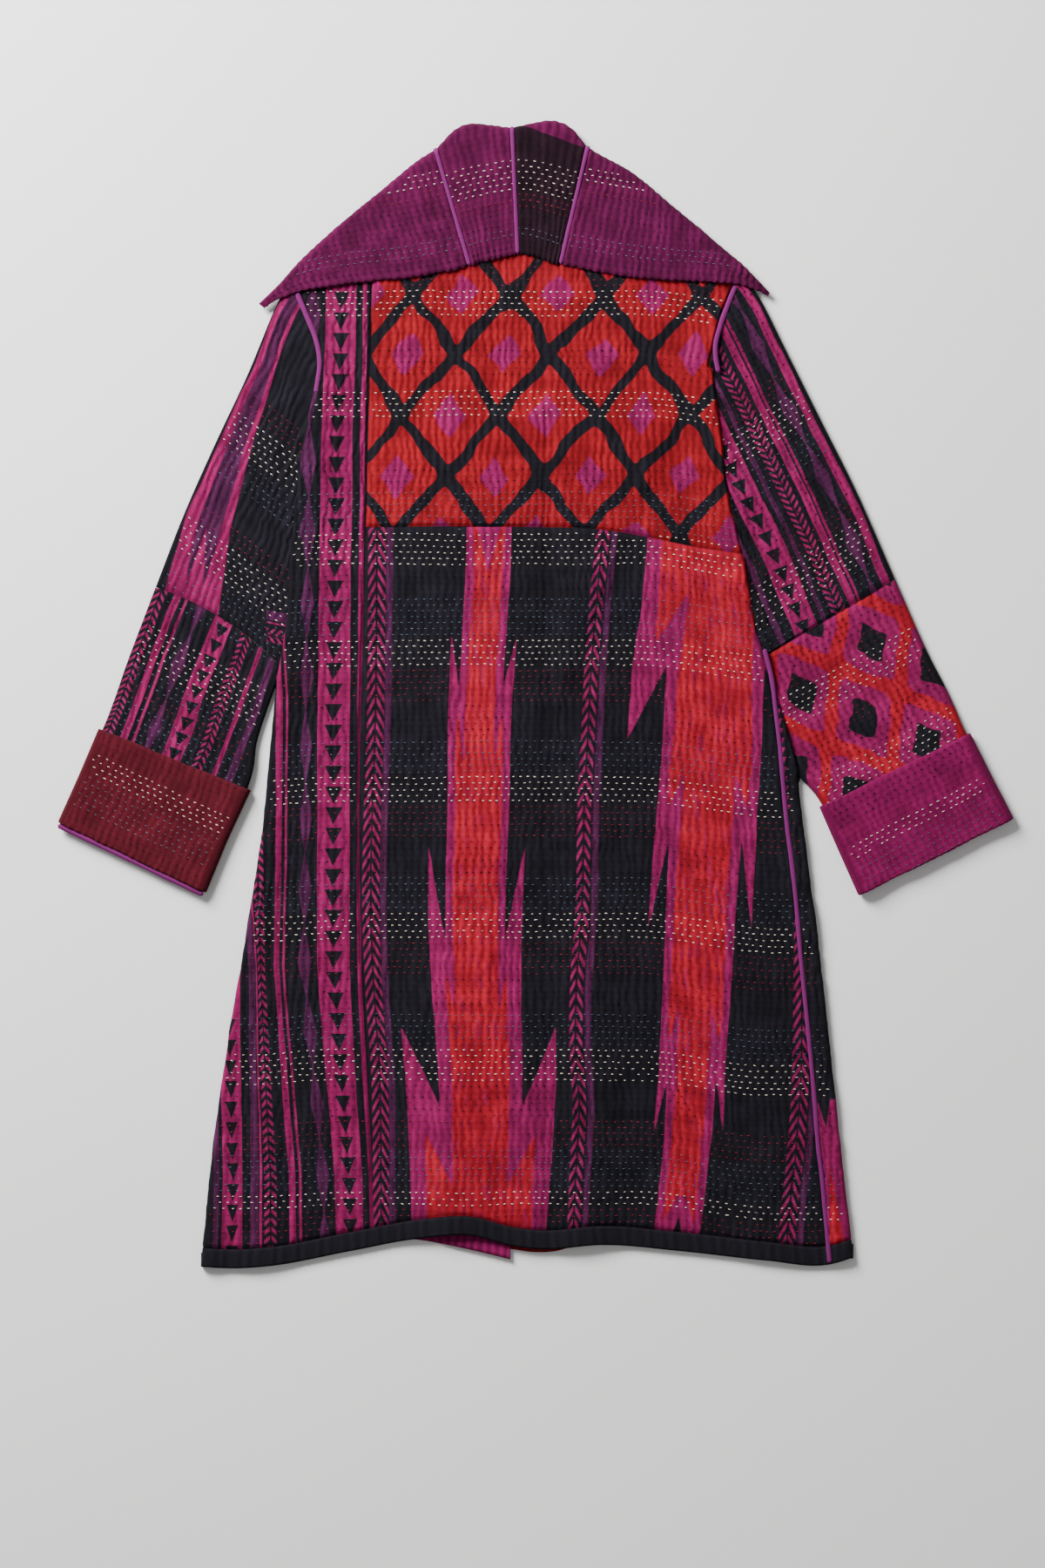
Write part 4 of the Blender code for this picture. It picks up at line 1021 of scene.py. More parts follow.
def left_upper_cloth():
    dye = Dyeing("printed_sleeve_left_upper")
    down = dye.fact("down")
    place = dye.scaled(dye.noise(24, 18, 20, 1), 2.4, dye.fact("across"))
    # one broad fuchsia stripe that widens down the sleeve, with a spiked plum middle
    width = dye.sum("MAXIMUM", dye.scaled(down, 0.15, 24.0), 24.0)
    spread = dye.times(dye.sum("MAXIMUM", dye.less(down, 190), 0.0), 0.09)
    share = dye.sum("DIVIDE", dye.less(place, spread), width)
    shade = dye.over(colour("black"), dye.stripe(share, 0.5, 0.5, 0.02), colour("fuchsia"))
    spikes = dye.times(dye.sum("PINGPONG", share, 0.16), 420.0)
    above = dye.inside(dye.less(dye.less(262, down), spikes), 3.0)
    shade = dye.over(shade, dye.times(dye.stripe(share, 0.54, 0.26, 0.02), above), colour("plum"))
    # the corner of a striped patch at the inside of the elbow
    elbow_u, elbow_v = 306, 718
    u, v = dye.chart(elbow_u, elbow_v)
    v = dye.scaled(u, -0.20, v)
    patch = dye.inside(u, 0.6)
    for centre, half, name in ((-12.4, 5.5, "plum"), (-3.9, 1.0, "fuchsia")):
        shade = dye.over(shade, dye.times(patch, dye.stripe(v, centre, half)), colour(name))
    heads = dye.chevrons(v, dye.sum("ADD", u, elbow_u), 10.6, 8, 8.0)
    return dye.done(dye.over(shade, dye.times(heads, patch), colour("fuchsia")))


def left_lower_cloth():
    dye = Dyeing("printed_sleeve_left_lower")
    down = dye.fact("down")
    place = dye.scaled(dye.noise(30, 22, 20, 1), 1.8, dye.fact("across"))
    shade = dye.stripes(colour("black"), place, LEFT_LOWER_STRIPES)
    shade = dye.over(shade, dye.teeth(place, down, 87, 8, 19, 6.0), colour("black"))
    shade = dye.over(shade, dye.chain(place, down, 56, 7, 76, 30), colour("plum"))
    shade = dye.over(shade, dye.chevrons(place, down, 8, 7, 8.0), colour("fuchsia"))
    return dye.done(dye.over(shade, dye.chevrons(place, down, 118, 6.5, 8.0), colour("fuchsia")))


def wedge_cloth():
    """Dark cloth whose magenta backing shows along the neck fold."""
    dye = Dyeing("collar_dark_cloth")
    u, v = dye.chart(603, 146)
    behind = dye.less(dye.times(u, 0.36), dye.scaled(dye.noise(40, 40, 10, 1), 1.5, v))
    return dye.done(dye.over(colour("collar_dark"), dye.inside(behind, 1.0), colour("collar")))


def front_cloth(name, lining):
    """Lining on its upper side and printed cloth on the side that faces the surface."""
    dye = Dyeing(name)
    facing = dye.node("ShaderNodeSeparateXYZ")
    dye.put(facing.inputs[0], dye.node("ShaderNodeNewGeometry").outputs["Normal"])
    upper = dye.inside(facing.outputs[2], 0.05)
    u, down = dye.chart(CHART_X, CHART_Y)
    place = dye.sum("PINGPONG", dye.sum("ADD", u, 60), 130.0)
    shade = dye.over(colour("black"), dye.chevrons(place, down, 110, 10, 7.6, 1.5), colour("fuchsia"))
    depth = dye.less(dye.scaled(dye.sum("PINGPONG", down, 120.0), 0.12, 24.0), place)
    shade = streaked(dye, shade, depth, dye.less(depth, 11.0))
    return dye.done(dye.over(shade, upper, colour(lining)))


def thread(name, shade):
    dye = Dyeing(name, rough=0.75)
    dye.toned(colour(shade), dye.scaled(dye.noise(700, 700, 700, 1), 0.16, 1.0))
    dye.bumped(dye.noise(2600, 2600, 2600, 1), 0.6, 0.0001)
    return dye.material


# The shells that the stitching is sewn through, filled in as the pieces are made
Sewn = namedtuple("Sewn", "grid normals count rows")
shells = {}


def keep_shell(name, grid, count, rows):
    shells[name] = Sewn(grid, outward(grid), count, rows)


def finish_back(grid, x, y, lead, tail, across_edges, row_edges, seed):
    """Raises the ripples and sinks the seams of a panel of the back."""
    top = slice(lead, grid.shape[1] - tail)
    height = puckers(plan_phase(x, y), back_rows(x, y), seed)
    loose = 0.0007 * lattice(x, y, 0.045, seed + 7) + 0.0004 * lattice(x, y, 0.018, seed + 8)
    dip = np.zeros(x.shape)
    for distance in across_edges + row_edges:
        dip = np.minimum(dip, seam_dip(distance))
        height = height * (0.35 + 0.65 * ease(distance / 0.004))
    relief = np.zeros(grid.shape[:2])
    relief[:, top] = height + loose + dip
    ridge = np.zeros(grid.shape[:2])
    ridge[:, top] = height / bpy.context.scene.coat_sizes.ripple_height
    for turned, edge in ((range(lead), lead), (range(-1, -1 - tail, -1), -1 - tail)):
        for step, column in enumerate(turned):
            share = ease((step - UNDER_STEPS) / ROLL_STEPS)
            relief[:, column] = relief[:, edge] * share
            ridge[:, column] = ridge[:, edge] * share
    raised = grid + outward(grid) * relief[..., None]
    raised[..., 2] = np.maximum(raised[..., 2], LOWEST)
    return raised, ridge


def on_back(x, y):
    return np.stack([x, y, back_height(x, y)], axis=-1)


def widened(values, lead, tail):
    """Facts of the top carried on over the turned edges."""
    left = np.repeat(values[:, :1], lead, axis=1)
    right = np.repeat(values[:, -1:], tail, axis=1)
    return np.concatenate([left, values, right], axis=1)


def make_strip():
    rows = spread_rows(0, 2, STRIP_LENGTH, LONG)[:, None]
    shares = np.linspace(0, 1, STRIP_COLUMNS)[None, :]
    x, y = settle(strip_across, row_y, shares + 0 * rows, rows + 0 * shares)
    top = on_back(x, y)
    turned = rolled(LEFT_EDGE, left_edge, y[:, 0], -1)
    grid = np.concatenate([turned, top], axis=1)
    lead = turned.shape[1]
    seam = read(STRIP_SEAM, "y", "x", y)
    hem = y - (read(HEM, "x", "y", x) + HEM_BAND)
    grid, ridge = finish_back(grid, x, y, lead, 0, [seam - x], [hem], 11)
    u, v = on_chart(x, y)
    facts = {"across": widened(strip_place(u, v), lead, 0),
             "down": widened(v, lead, 0), "ridge": ridge, "rows": widened(back_rows(x, y), lead, 0)}
    # the stripes go on round the turned edge
    edge_u = facts["across"][:, lead:lead + 1]
    run = np.linalg.norm(np.diff(grid[:, :lead + 1], axis=1), axis=2)[:, ::-1].cumsum(axis=1)[:, ::-1]
    facts["across"][:, :lead] = edge_u - run / SQUARE
    piece = add_shell("back_strip_left", grid, strip_cloth(), facts)
    width = 0.18 + RETURN
    laid(piece, "back_strip_left", cut_of(grid, width, 0.96))
    keep_shell("back_strip_left", grid[:, lead:], plan_phase(x, y), back_rows(x, y))


def make_panel(name, first, last, length, cloth, seed):
    rows = spread_rows(first, last, length, LONG)[:, None]
    shares = seam_shares(MAIN_WIDTH, 0.004, int(1.1 * MAIN_WIDTH / FINE))[None, :]
    x, y = settle(main_across, row_y, shares + 0 * rows, rows + 0 * shares)
    grid = on_back(x, y)
    seam = read(STRIP_SEAM, "y", "x", y)
    right = back_right(y)
    yoke = np.abs(y - read(YOKE_SEAM, "x", "y", x))
    across_edges = [x - seam]
    row_edges = [yoke]
    if name == "back_skirt":
        across_edges.append(np.where(y < SIDE_SEAM[0].y, right - x, 0.01))
        row_edges.append(y - (read(HEM, "x", "y", x) + HEM_BAND))
    edge = np.where(y > SIDE_SEAM[0].y, right - x, 1.0)
    grid, ridge = finish_back(grid, x, y, 0, 0, across_edges, row_edges, seed)
    # the armhole edge turns down over the sleeve
    grid[..., 2] -= 0.0030 * (1 - ease(edge / 0.0022))
    facts = {**chart_facts(x, y), "ridge": ridge, "rows": back_rows(x, y)}
    piece = add_shell(name, grid, cloth, facts)
    width = float(np.ptp(x))
    flat_length = float(np.ptp(y))
    laid(piece, name, cut_of(grid, width, flat_length))
    keep_shell(name, grid, plan_phase(x, y), back_rows(x, y))


def make_side():
    rows = spread_rows(SIDE_ROW, 2, SIDE_LENGTH, LONG)
    rows = rows[row_y(SIDE_SEAM[0].x, rows) < SIDE_SEAM[0].y][:, None]
    shares = np.linspace(0, 1, SIDE_COLUMNS)[None, :]
    x, y = settle(side_across, row_y, shares + 0 * rows, rows + 0 * shares)
    turned = rolled(RIGHT_EDGE, right_edge, y[:, -1], 1)[:, ::-1]
    grid = np.concatenate([on_back(x, y), turned], axis=1)
    tail = turned.shape[1]
    hem = y - (read(HEM, "x", "y", x) + HEM_BAND)
    grid, ridge = finish_back(grid, x, y, 0, tail, [x - back_right(y)], [hem], 41)
    facts = {"across": widened((x - back_right(y)) / SQUARE, 0, tail),
             "down": widened(on_chart(x, y)[1], 0, tail), "ridge": ridge,
             "rows": widened(back_rows(x, y), 0, tail)}
    piece = add_shell("front_side_right", grid, side_cloth(), facts)
    laid(piece, "front_side_right", cut_of(grid, 0.055, 0.53))
    keep_shell("front_side_right", grid[:, :-tail], plan_phase(x, y), back_rows(x, y))


def band_down(x, share):
    return read(HEM, "x", "y", x) + (HEM_BAND - 0.0009) * (1 - share)


def make_band():
    shares = np.array([-0.03, 0.0, 0.12, 0.3, 0.5, 0.7, 0.88, 1.0])[:, None]
    parts = ((strip_across, 90), (main_across, 240), (side_across, 16))
    xs, ys = [], []
    for across, count in parts:
        columns = np.linspace(0, 1, count, endpoint=across is side_across)[None, :]
        x, y = settle(across, band_down, columns + 0 * shares, shares + 0 * columns)
        xs.append(x)
        ys.append(y)
    x, y = np.concatenate(xs, axis=1), np.concatenate(ys, axis=1)
    top = on_back(x, y)
    puffed = 0.5 + 0.5 * np.sin(np.pi * np.clip(shares, 0, 1))
    top[..., 2] += 0.0006 * puffed * (1 + 0.5 * np.sin(2 * np.pi * plan_phase(x, y)))
    top[0, :, 2] -= 0.0014
    left = rolled(LEFT_EDGE, left_edge, y[:, 0], -1)
    right = rolled(RIGHT_EDGE, right_edge, y[:, -1], 1)[:, ::-1]
    grid = np.concatenate([left, top, right], axis=1)
    # the cloth turns under along the hem
    under = grid[-1].copy()
    under[:, 1] += 0.0008
    under[:, 2] = np.maximum(under[:, 2] - 0.0016, LOWEST)
    inner = under.copy()
    inner[:, 1] += 0.012
    grid = np.concatenate([grid, under[None], inner[None]], axis=0)
    # painted shade: the ridge share makes the band darker and lighter in turn along it, as shade between
    # ripples
    ridge = 0.35 + 0.25 * np.sin(np.arange(grid.shape[1]))[None, :] + np.zeros(grid.shape[:2])
    piece = add_shell("hem_band", grid, plain_cloth("hem_band_cloth", "band"), {"ridge": ridge})
    laid(piece, "hem_band", cut_of(grid, 0.66, 0.034))


def sleeve_side(sections, y, side):
    edge = straight(y, [s.iy for s in sections], [s.ix for s in sections])
    edge = np.where(y > sections[0].iy, armhole_x(sections[0], y), edge)
    return edge - side * HIDDEN_GAP


def turned_side(outline, y, side, crotch):
    turned = outline(y) - side * (RETURN + LEFT_EDGE[-1].height / 2 + 2 * SEAM)
    return np.where(y > crotch, side, turned)


def front_left_side(y):
    return np.maximum(sleeve_side(LEFT_UPPER + LEFT_LOWER, y, -1),
                      turned_side(left_edge, y, -1, LEFT_CROTCH))


def front_right_side(y):
    return np.minimum(sleeve_side(RIGHT_UPPER + RIGHT_LOWER, y, 1),
                      turned_side(right_edge, y, 1, RIGHT_CROTCH))


def make_front(name, side, hem, edge, under, lining):
    def down(x, row):
        yoke = row_y(x, 1.0)
        return np.where(row <= 1, row_y(x, np.minimum(row, 1)), mix(yoke, read(hem, "x", "y", x), row - 1))

    def across(share, y):
        return mix(side(y), read(edge, "y", "x", y, straight), share)

    rows = np.concatenate([np.linspace(0, 1, 24, endpoint=False), np.linspace(1, 1.9, 40, endpoint=False),
                           np.linspace(1.9, 2, 18)])[:, None]
    shares = np.linspace(0, 1, 150)[None, :]
    x, y = settle(across, down, shares + 0 * rows, rows + 0 * shares)
    lift = LAYER * lifted(x, y, LAPEL_REACH, under)
    relief = 0.0005 * (0.5 - 0.5 * np.cos(2 * np.pi * plan_phase(x, y)))
    grid = np.stack([x, y, lift + CLOTH + relief - 0.0003], axis=-1)
    piece = add_plate(name, grid, CLOTH, front_cloth(name + "_cloth", lining),
                      {"ridge": relief / 0.0005})
    width, length = float(np.ptp(x)), float(np.ptp(y))
    laid(piece, name, cut_of(grid, width, length))


def section_at(sections, t):
    order = np.arange(len(sections))
    return Section(*(float(smooth(t, order, column(sections, name))) for name in Section._fields))


def straight_section(sections, t):
    order = np.arange(len(sections))
    return Section(*(float(straight(t, order, column(sections, name))) for name in Section._fields))


def moved(section, by):
    run = np.array([section.ix - section.ox, section.iy - section.oy])
    down = np.array([run[1], -run[0]]) / np.linalg.norm(run)
    if down[1] > 0:
        down = -down
    return section._replace(ox=section.ox + down[0] * by, oy=section.oy + down[1] * by,
                            ix=section.ix + down[0] * by, iy=section.iy + down[1] * by)


def shrunk(section, inset):
    run = np.array([section.ix - section.ox, section.iy - section.oy])
    run = run / np.linalg.norm(run) * inset
    return section._replace(
        ox=section.ox + run[0], oy=section.oy + run[1], ix=section.ix - run[0], iy=section.iy - run[1],
        middle=section.middle - 2 * inset, outer=section.outer - 2 * inset,
        inner=section.inner - 2 * inset, lift=section.lift + inset)


def ring(section, columns):
    """Points round a flattened sleeve and how far each lies from its outer edge."""
    length = math.dist((section.ox, section.oy), (section.ix, section.iy))
    outer, inner = section.outer / 2, section.inner / 2
    turn = math.pi * (1 - np.arange(ROLL_STEPS) / ROLL_STEPS)
    along = [outer - outer * np.sin(turn)]
    height = [outer + outer * np.cos(turn)]
    top = mix(outer, length - inner, np.linspace(0, 1, columns + 1))
    z = np.full(columns + 1, section.middle)
    for edge, inward in ((section.outer, top), (section.inner, length - top)):
        z = mix(z, edge, 1 - ease((inward - BLEND_FLAT) / SLEEVE_BLEND))
    along.append(top)
    height.append(z)
    turn = math.pi * np.arange(1, ROLL_STEPS + 1) / ROLL_STEPS
    along.append(length - inner + inner * np.sin(turn))
    height.append(inner + inner * np.cos(turn))
    along.append(mix(outer, length - inner, np.linspace(0.97, 0.03, 30)))
    height.append(np.full(30, LOWEST))
    along, height = np.concatenate(along), np.concatenate(height)
    share = along / length
    start = np.array([section.ox, section.oy])
    run = np.array([section.ix - section.ox, section.iy - section.oy])
    sideways = np.array([-run[1], run[0]]) / np.linalg.norm(run)
    place = start + run * share[:, None] + sideways * (section.bow * 4 * share * (1 - share))[:, None]
    return np.column_stack([place, height + section.lift]), along


def printed_from_edge(grid, start, lean):
    """How far across and down each place lies, in plan, from the outer edge of a leaning sleeve."""
    side, turn = math.copysign(1, lean), math.radians(lean)
    place = grid[..., :2] - start
    down = -place[..., 0] * math.sin(turn) - place[..., 1] * math.cos(turn)
    across = (place[..., 0] * math.cos(turn) - place[..., 1] * math.sin(turn)) * side
    order = down[:, ROLL_STEPS].argsort()
    edge = np.interp(down, down[order, ROLL_STEPS], across[order, ROLL_STEPS])
    return across - edge, down


def covered_by(cuff, x, y):
    """From 0 above the cuff to 1 under it."""
    first = cuff[0]
    run = np.array([first.ix - first.ox, first.iy - first.oy])
    run *= np.sign(run[0]) / np.linalg.norm(run)
    return ease(((x - first.ox) * run[1] - (y - first.oy) * run[0] - 0.002) / 0.006)


def make_tube(name, rings, cloth, columns, seed, degrees, fades=(0.0, 0.0), lean=None, cuff=None,
              quilting=1.0):
    """A sleeve part from its list of sections, with ripples that run down it.

    With a lean, its print and ripples keep to its outer edge, in plan, and the armhole cuts them off.
    What a cuff covers lies a little lower.
    """
    grid, along = [], []
    for section in rings:
        points, reach = ring(section, columns)
        grid.append(points)
        along.append(reach)
    grid, along = np.array(grid), np.array(along)
    middle = grid[:, ROLL_STEPS + columns // 2]
    down = np.concatenate([[0], np.linalg.norm(np.diff(middle, axis=0), axis=1).cumsum()])
    total = down[-1]
    top = slice(ROLL_STEPS, ROLL_STEPS + columns + 1)
    sizes = bpy.context.scene.coat_sizes
    reach, below = along[:, top], down[:, None] + 0 * along[:, top]
    printed_along, printed_down = along, down[:, None] + 0 * along
    if lean is not None:
        printed_along, printed_down = printed_from_edge(grid, middle[0, :2], lean)
    rippled = printed_along[:, top]
    phase = (rippled + 0.0024 * lattice(rippled, below, 0.030, seed) +
             0.0010 * lattice(rippled, below, 0.009, seed + 1)) / sizes.ripple_pitch
    rows = slanted_rows(grid[:, top, 0], grid[:, top, 1], degrees, middle[0])
    height = puckers(phase, rows, seed + 2) * quilting
    inward = np.minimum(reach - reach[:, :1], reach[:, -1:] - reach)
    height *= ease(inward / 0.004 + 0.15)
    loose = (0.0006 * lattice(reach, below, 0.045, seed + 5) +
             0.0004 * lattice(reach, below, 0.016, seed + 6)) * ease(inward / 0.02)
    for distance, dip in zip((below, total - below), fades):
        height *= 0.35 + 0.65 * ease(distance / 0.004)
        loose = loose - dip * (1 - ease(distance / 0.0032))
    relief, ridge = np.zeros(grid.shape[:2]), np.zeros(grid.shape[:2])
    relief[:, top] = height + loose
    if cuff:
        covered = covered_by(cuff, grid[:, top, 0], grid[:, top, 1])
        relief[:, top] = mix(relief[:, top], -0.0010, covered)
    ridge[:, top] = height / sizes.ripple_height
    raised = grid + outward(grid, True) * relief[..., None]
    raised[..., 2] = np.maximum(raised[..., 2], LOWEST)
    counted = np.zeros(grid.shape[:2])
    counted[:, top] = rows
    facts = {"across": printed_along / SQUARE, "down": printed_down / SQUARE, "ridge": ridge, "rows": counted}
    piece = add_shell(name, raised, cloth, facts, closed=True)
    width = float(np.linalg.norm(np.diff(grid, axis=1), axis=2).sum(axis=1).max())
    laid(piece, name, min(area_of(grid), width * total))
    keep_shell(name, raised[:, top], phase, rows)


def sleeve_rings(sections, step):
    """Sections close enough together for the cloth to bend smoothly."""
    lengths = [0.0]
    for a, b in zip(sections, sections[1:]):
        lengths.append(lengths[-1] + math.dist(((a.ox + a.ix) / 2, (a.oy + a.iy) / 2),
                                               ((b.ox + b.ix) / 2, (b.oy + b.iy) / 2)))
    places = spread_rows(0, lengths[-1], lengths[-1], step)
    order = np.interp(places, lengths, np.arange(len(sections)))
    return [section_at(sections, t) for t in order]


def make_cuff(name, sections, cloth, seed, degrees):
    first, middle, last = sections
    start = moved(last, -FOLD_RADIUS)
    rings = [straight_section([first, middle, start], t) for t in np.linspace(0, 2, 30)]
    # the loose edge is rounded over, and the fold at the end is rounded too
    lip = shrunk(moved(first, -0.0006), 0.0008)
    rings = [shrunk(lip, 0.0010), lip] + rings
    for angle in np.linspace(0, math.pi / 2, 6)[1:]:
        rings.append(shrunk(moved(start, FOLD_RADIUS * math.sin(angle)), FOLD_RADIUS * (1 - math.cos(angle))))
    rings.append(shrunk(moved(start, FOLD_RADIUS), FOLD_RADIUS + FOLD_LIP))
    make_tube(name, rings, cloth, CUFF_COLUMNS, seed, degrees, quilting=0.65)


def collar_line(at):
    """Points across the collar at one place along it: loose edge, fold, cloth under it."""
    rows = np.arange(len(COLLAR))
    tx, ty, ex, ey = (float(smooth(at, rows, column(COLLAR, n))) for n in ("tx", "ty", "ex", "ey"))
    fold, edge, roll, under = (
        float(straight(at, rows, column(COLLAR, n))) for n in ("fold", "edge", "roll", "under"))
    top, run = np.array([tx, ty]), np.array([ex - tx, ey - ty])
    length = np.linalg.norm(run)
    run = run / length
    radius = min(fold / 2, length / 3)
    turn = math.radians(roll)
    shares = np.concatenate([[1.0, 0.992], np.linspace(0.97, 0.02, 38)])
    along = mix(radius, length, shares)
    height = mix(fold, edge, ease(shares))
    height[0] -= 0.0013
    angle = turn * np.arange(ROLL_STEPS + 1) / ROLL_STEPS
    along = np.concatenate([along, radius - radius * np.sin(angle)])
    height = np.concatenate([height, fold - radius + radius * np.cos(angle)])
    reach = under * np.linspace(0, 1, UNDER_STEPS + 1)[1:]
    along = np.concatenate([along, along[-1] - reach * math.cos(turn)])
    height = np.concatenate([height, height[-1] - reach * math.sin(turn)])
    place = top + run * along[:, None]
    return np.column_stack([place, np.maximum(height, LOWEST)]), np.concatenate(
        [shares * length, np.zeros(ROLL_STEPS + 1 + UNDER_STEPS)])


def make_collar_piece(piece, cloth, seed):
    start, end = collar_line(piece.first)[0], collar_line(piece.last)[0]
    span = math.dist(start[COLLAR_MIDDLE, :2], end[COLLAR_MIDDLE, :2])
    places = mix(piece.first, piece.last, seam_shares(span, 0.006, int(span / FINE * 1.1)))
    lines = [collar_line(at) for at in places]
    grid = np.array([line[0] for line in lines]).swapaxes(0, 1)
    fall = np.array([line[1] for line in lines]).swapaxes(0, 1)
    middle = grid[COLLAR_MIDDLE]
    walked = np.concatenate([[0], np.linalg.norm(np.diff(middle, axis=0), axis=1).cumsum()])
    walked = walked[None, :] + 0 * fall
    sizes = bpy.context.scene.coat_sizes
    phase = (walked + 0.0014 * lattice(walked, fall, 0.030, seed)) / sizes.ripple_pitch
    rows = (fall[:1] - fall) / sizes.row_pitch + 0.5
    height = puckers(phase, rows, seed + 2)
    fade = np.ones(len(grid))
    fade[-UNDER_STEPS:] = 0
    fade[-UNDER_STEPS - ROLL_STEPS - 1:-UNDER_STEPS] = np.linspace(1, 0, ROLL_STEPS + 1)
    height = height * fade[:, None]
    distance = np.minimum(walked, walked[:, -1:] - walked)
    if piece.first == 0:
        distance = walked[:, -1:] - walked
    if piece.last == len(COLLAR) - 1:
        distance = walked
    loose = 0.0005 * lattice(walked, fall, 0.040, seed + 5) * fade[:, None]
    relief = height * (0.35 + 0.65 * ease(distance / 0.004)) + loose + seam_dip(distance) * fade[:, None]
    raised = grid + outward(grid) * relief[..., None]
    raised[..., 2] = np.maximum(raised[..., 2], LOWEST)
    facts = {"across": walked / SQUARE, "down": fall / SQUARE, "ridge": height / sizes.ripple_height,
             "rows": rows}
    shell = add_shell(piece.name, raised, cloth, facts)
    length = float(np.linalg.norm(np.diff(grid, axis=0), axis=2).sum(axis=0).max())
    width = float(max(np.linalg.norm(np.diff(grid, axis=1), axis=2).sum(axis=1).max(), 0.01))
    laid(shell, piece.name, cut_of(grid, width, length))
    fallen = slice(0, len(grid) - UNDER_STEPS - ROLL_STEPS - 1)
    keep_shell(piece.name, raised[fallen], phase[fallen], rows[fallen])


def make_lapel(lapel):
    lines = []
    for at in np.linspace(lapel.first, lapel.last, 12):
        line, _ = collar_line(at)
        end, before = line[-1, :2], line[-2, :2]
        run = (end - before) / np.linalg.norm(end - before)
        top = end + run * HIDDEN_GAP
        share = (at - lapel.first) / (lapel.last - lapel.first) - 0.5
        foot = np.array([lapel.foot_x + share * lapel.foot_width, lapel.foot_y])
        lines.append([(*mix(top, foot, s), CLOTH) for s in np.linspace(0, 1, 30)])
    grid = np.array(lines).swapaxes(0, 1)
    piece = add_plate(lapel.name, grid, CLOTH, plain_cloth(lapel.name + "_cloth", "collar"),
                      {"ridge": np.full(grid.shape[:2], 0.4)})
    width, length = float(np.ptp(grid[..., 0])), float(np.ptp(grid[..., 1]))
    laid(piece, lapel.name, cut_of(grid, width, length))


# Thread of the running stitch, by how far down the back, a sleeve part or the collar it is
Band = namedtuple("Band", "end shade")
BACK_BANDS = [
    Band(331, "crimson"), Band(366, "cream"), Band(400, "none"), Band(435, "dark"), Band(445, "none"),
    Band(484, "cream"), Band(526, "none"), Band(562, "dark"), Band(607, "slate"), Band(648, "cream"),
    Band(686, "dark"), Band(730, "slate"), Band(768, "cream"), Band(808, "crimson"), Band(846, "dark"),
    Band(889, "slate"), Band(925, "cream"), Band(962, "crimson"), Band(1004, "dark"), Band(1045, "slate"),
    Band(1080, "cream"), Band(1119, "crimson"), Band(1160, "dark"), Band(1202, "slate"),
    Band(1242, "cream"), Band(1283, "dark"), Band(1320, "crimson"), Band(1362, "slate"),
    Band(1384, "cream"), Band(1430, "crimson"),
]
SLEEVE_BANDS = {
    "sleeve_left_upper": [Band(48, "dark"), Band(78, "crimson"), Band(116, "cream"), Band(150, "slate"),
                          Band(190, "dark"), Band(207, "crimson"), Band(247, "cream"), Band(330, "slate")],
    "sleeve_left_lower": [Band(16, "slate"), Band(46, "dark"), Band(90, "cream"), Band(112, "slate"),
                          Band(132, "crimson"), Band(200, "slate")],
    "sleeve_right_upper": [Band(30, "dark"), Band(60, "crimson"), Band(102, "cream"), Band(140, "slate"),
                           Band(196, "dark"), Band(222, "crimson"), Band(266, "cream"), Band(330, "slate")],
    "sleeve_right_lower": [Band(34, "dark"), Band(52, "crimson"), Band(92, "cream"), Band(120, "crimson"),
                           Band(150, "dark"), Band(200, "cream")],
    "cuff_left": [Band(34, "dark"), Band(56, "cream"), Band(98, "slate"), Band(200, "dark")],
    "cuff_right": [Band(30, "dark"), Band(48, "crimson"), Band(73, "cream"), Band(110, "slate"),
                   Band(200, "crimson")],
}
WING_BANDS = [Band(22, "dark"), Band(42, "slate"), Band(92, "dark"), Band(108, "crimson"), Band(126, "cream"),
              Band(200, "none")]
WEDGE_BANDS = [Band(22, "dark"), Band(38, "slate"), Band(56, "dark"), Band(76, "crimson"), Band(116, "cream"),
               Band(200, "none")]


def band_shades(bands, places):
    ends = np.array([band.end for band in bands])
    order = np.clip(np.searchsorted(ends, places), 0, len(bands) - 1)
    return np.array([bands[k].shade for k in order])


sewn = {}


def sew(start, end, normals, shades, widths):
    """Keeps stitches that run from start to end, sorted by their thread."""
    for shade in set(shades):
        if shade == "none":
            continue
        chosen = shades == shade
        sewn.setdefault(str(shade), []).append((start[chosen], end[chosen], normals[chosen], widths[chosen]))


def cell_counts(counts):
    """A count at each cell's first corner, and how much it grows across and down the cell."""
    first = counts[:-1, :-1]
    return first, counts[:-1, 1:] - first, counts[1:, :-1] - first


def whole_above(first, across, down, shift=0.0):
    """The first whole count, moved on by the shift, that may lie in each cell."""
    low = np.minimum(np.minimum(first, first + across), np.minimum(first + down, first + across + down))
    return np.ceil(low - shift)


def crossings(count, rows):
    """Where whole counts of ripples and rows meet on a grid.

    It gives their cells, their places down and across those, their rows, and how much the count of
    rows grows down and across each cell.
    """
    ripple, ripple_across, ripple_down = cell_counts(count)
    row, row_across, row_down = cell_counts(rows)
    whole_row = whole_above(row, row_across, row_down)
    shift = STAGGER * (whole_row % 2)
    whole_ripple = whole_above(ripple, ripple_across, ripple_down, shift)
    to_ripple, to_row = whole_ripple + shift - ripple, whole_row - row
    cross = ripple_across * row_down - ripple_down * row_across
    cross = np.where(abs(cross) < 1e-9, 1e-9, cross)
    across = (to_ripple * row_down - to_row * ripple_down) / cross
    down = (to_row * ripple_across - to_ripple * row_across) / cross
    cells = np.nonzero((across >= 0) & (across < 1) & (down >= 0) & (down < 1))
    return cells, down[cells], across[cells], whole_row[cells], row_down[cells], row_across[cells]


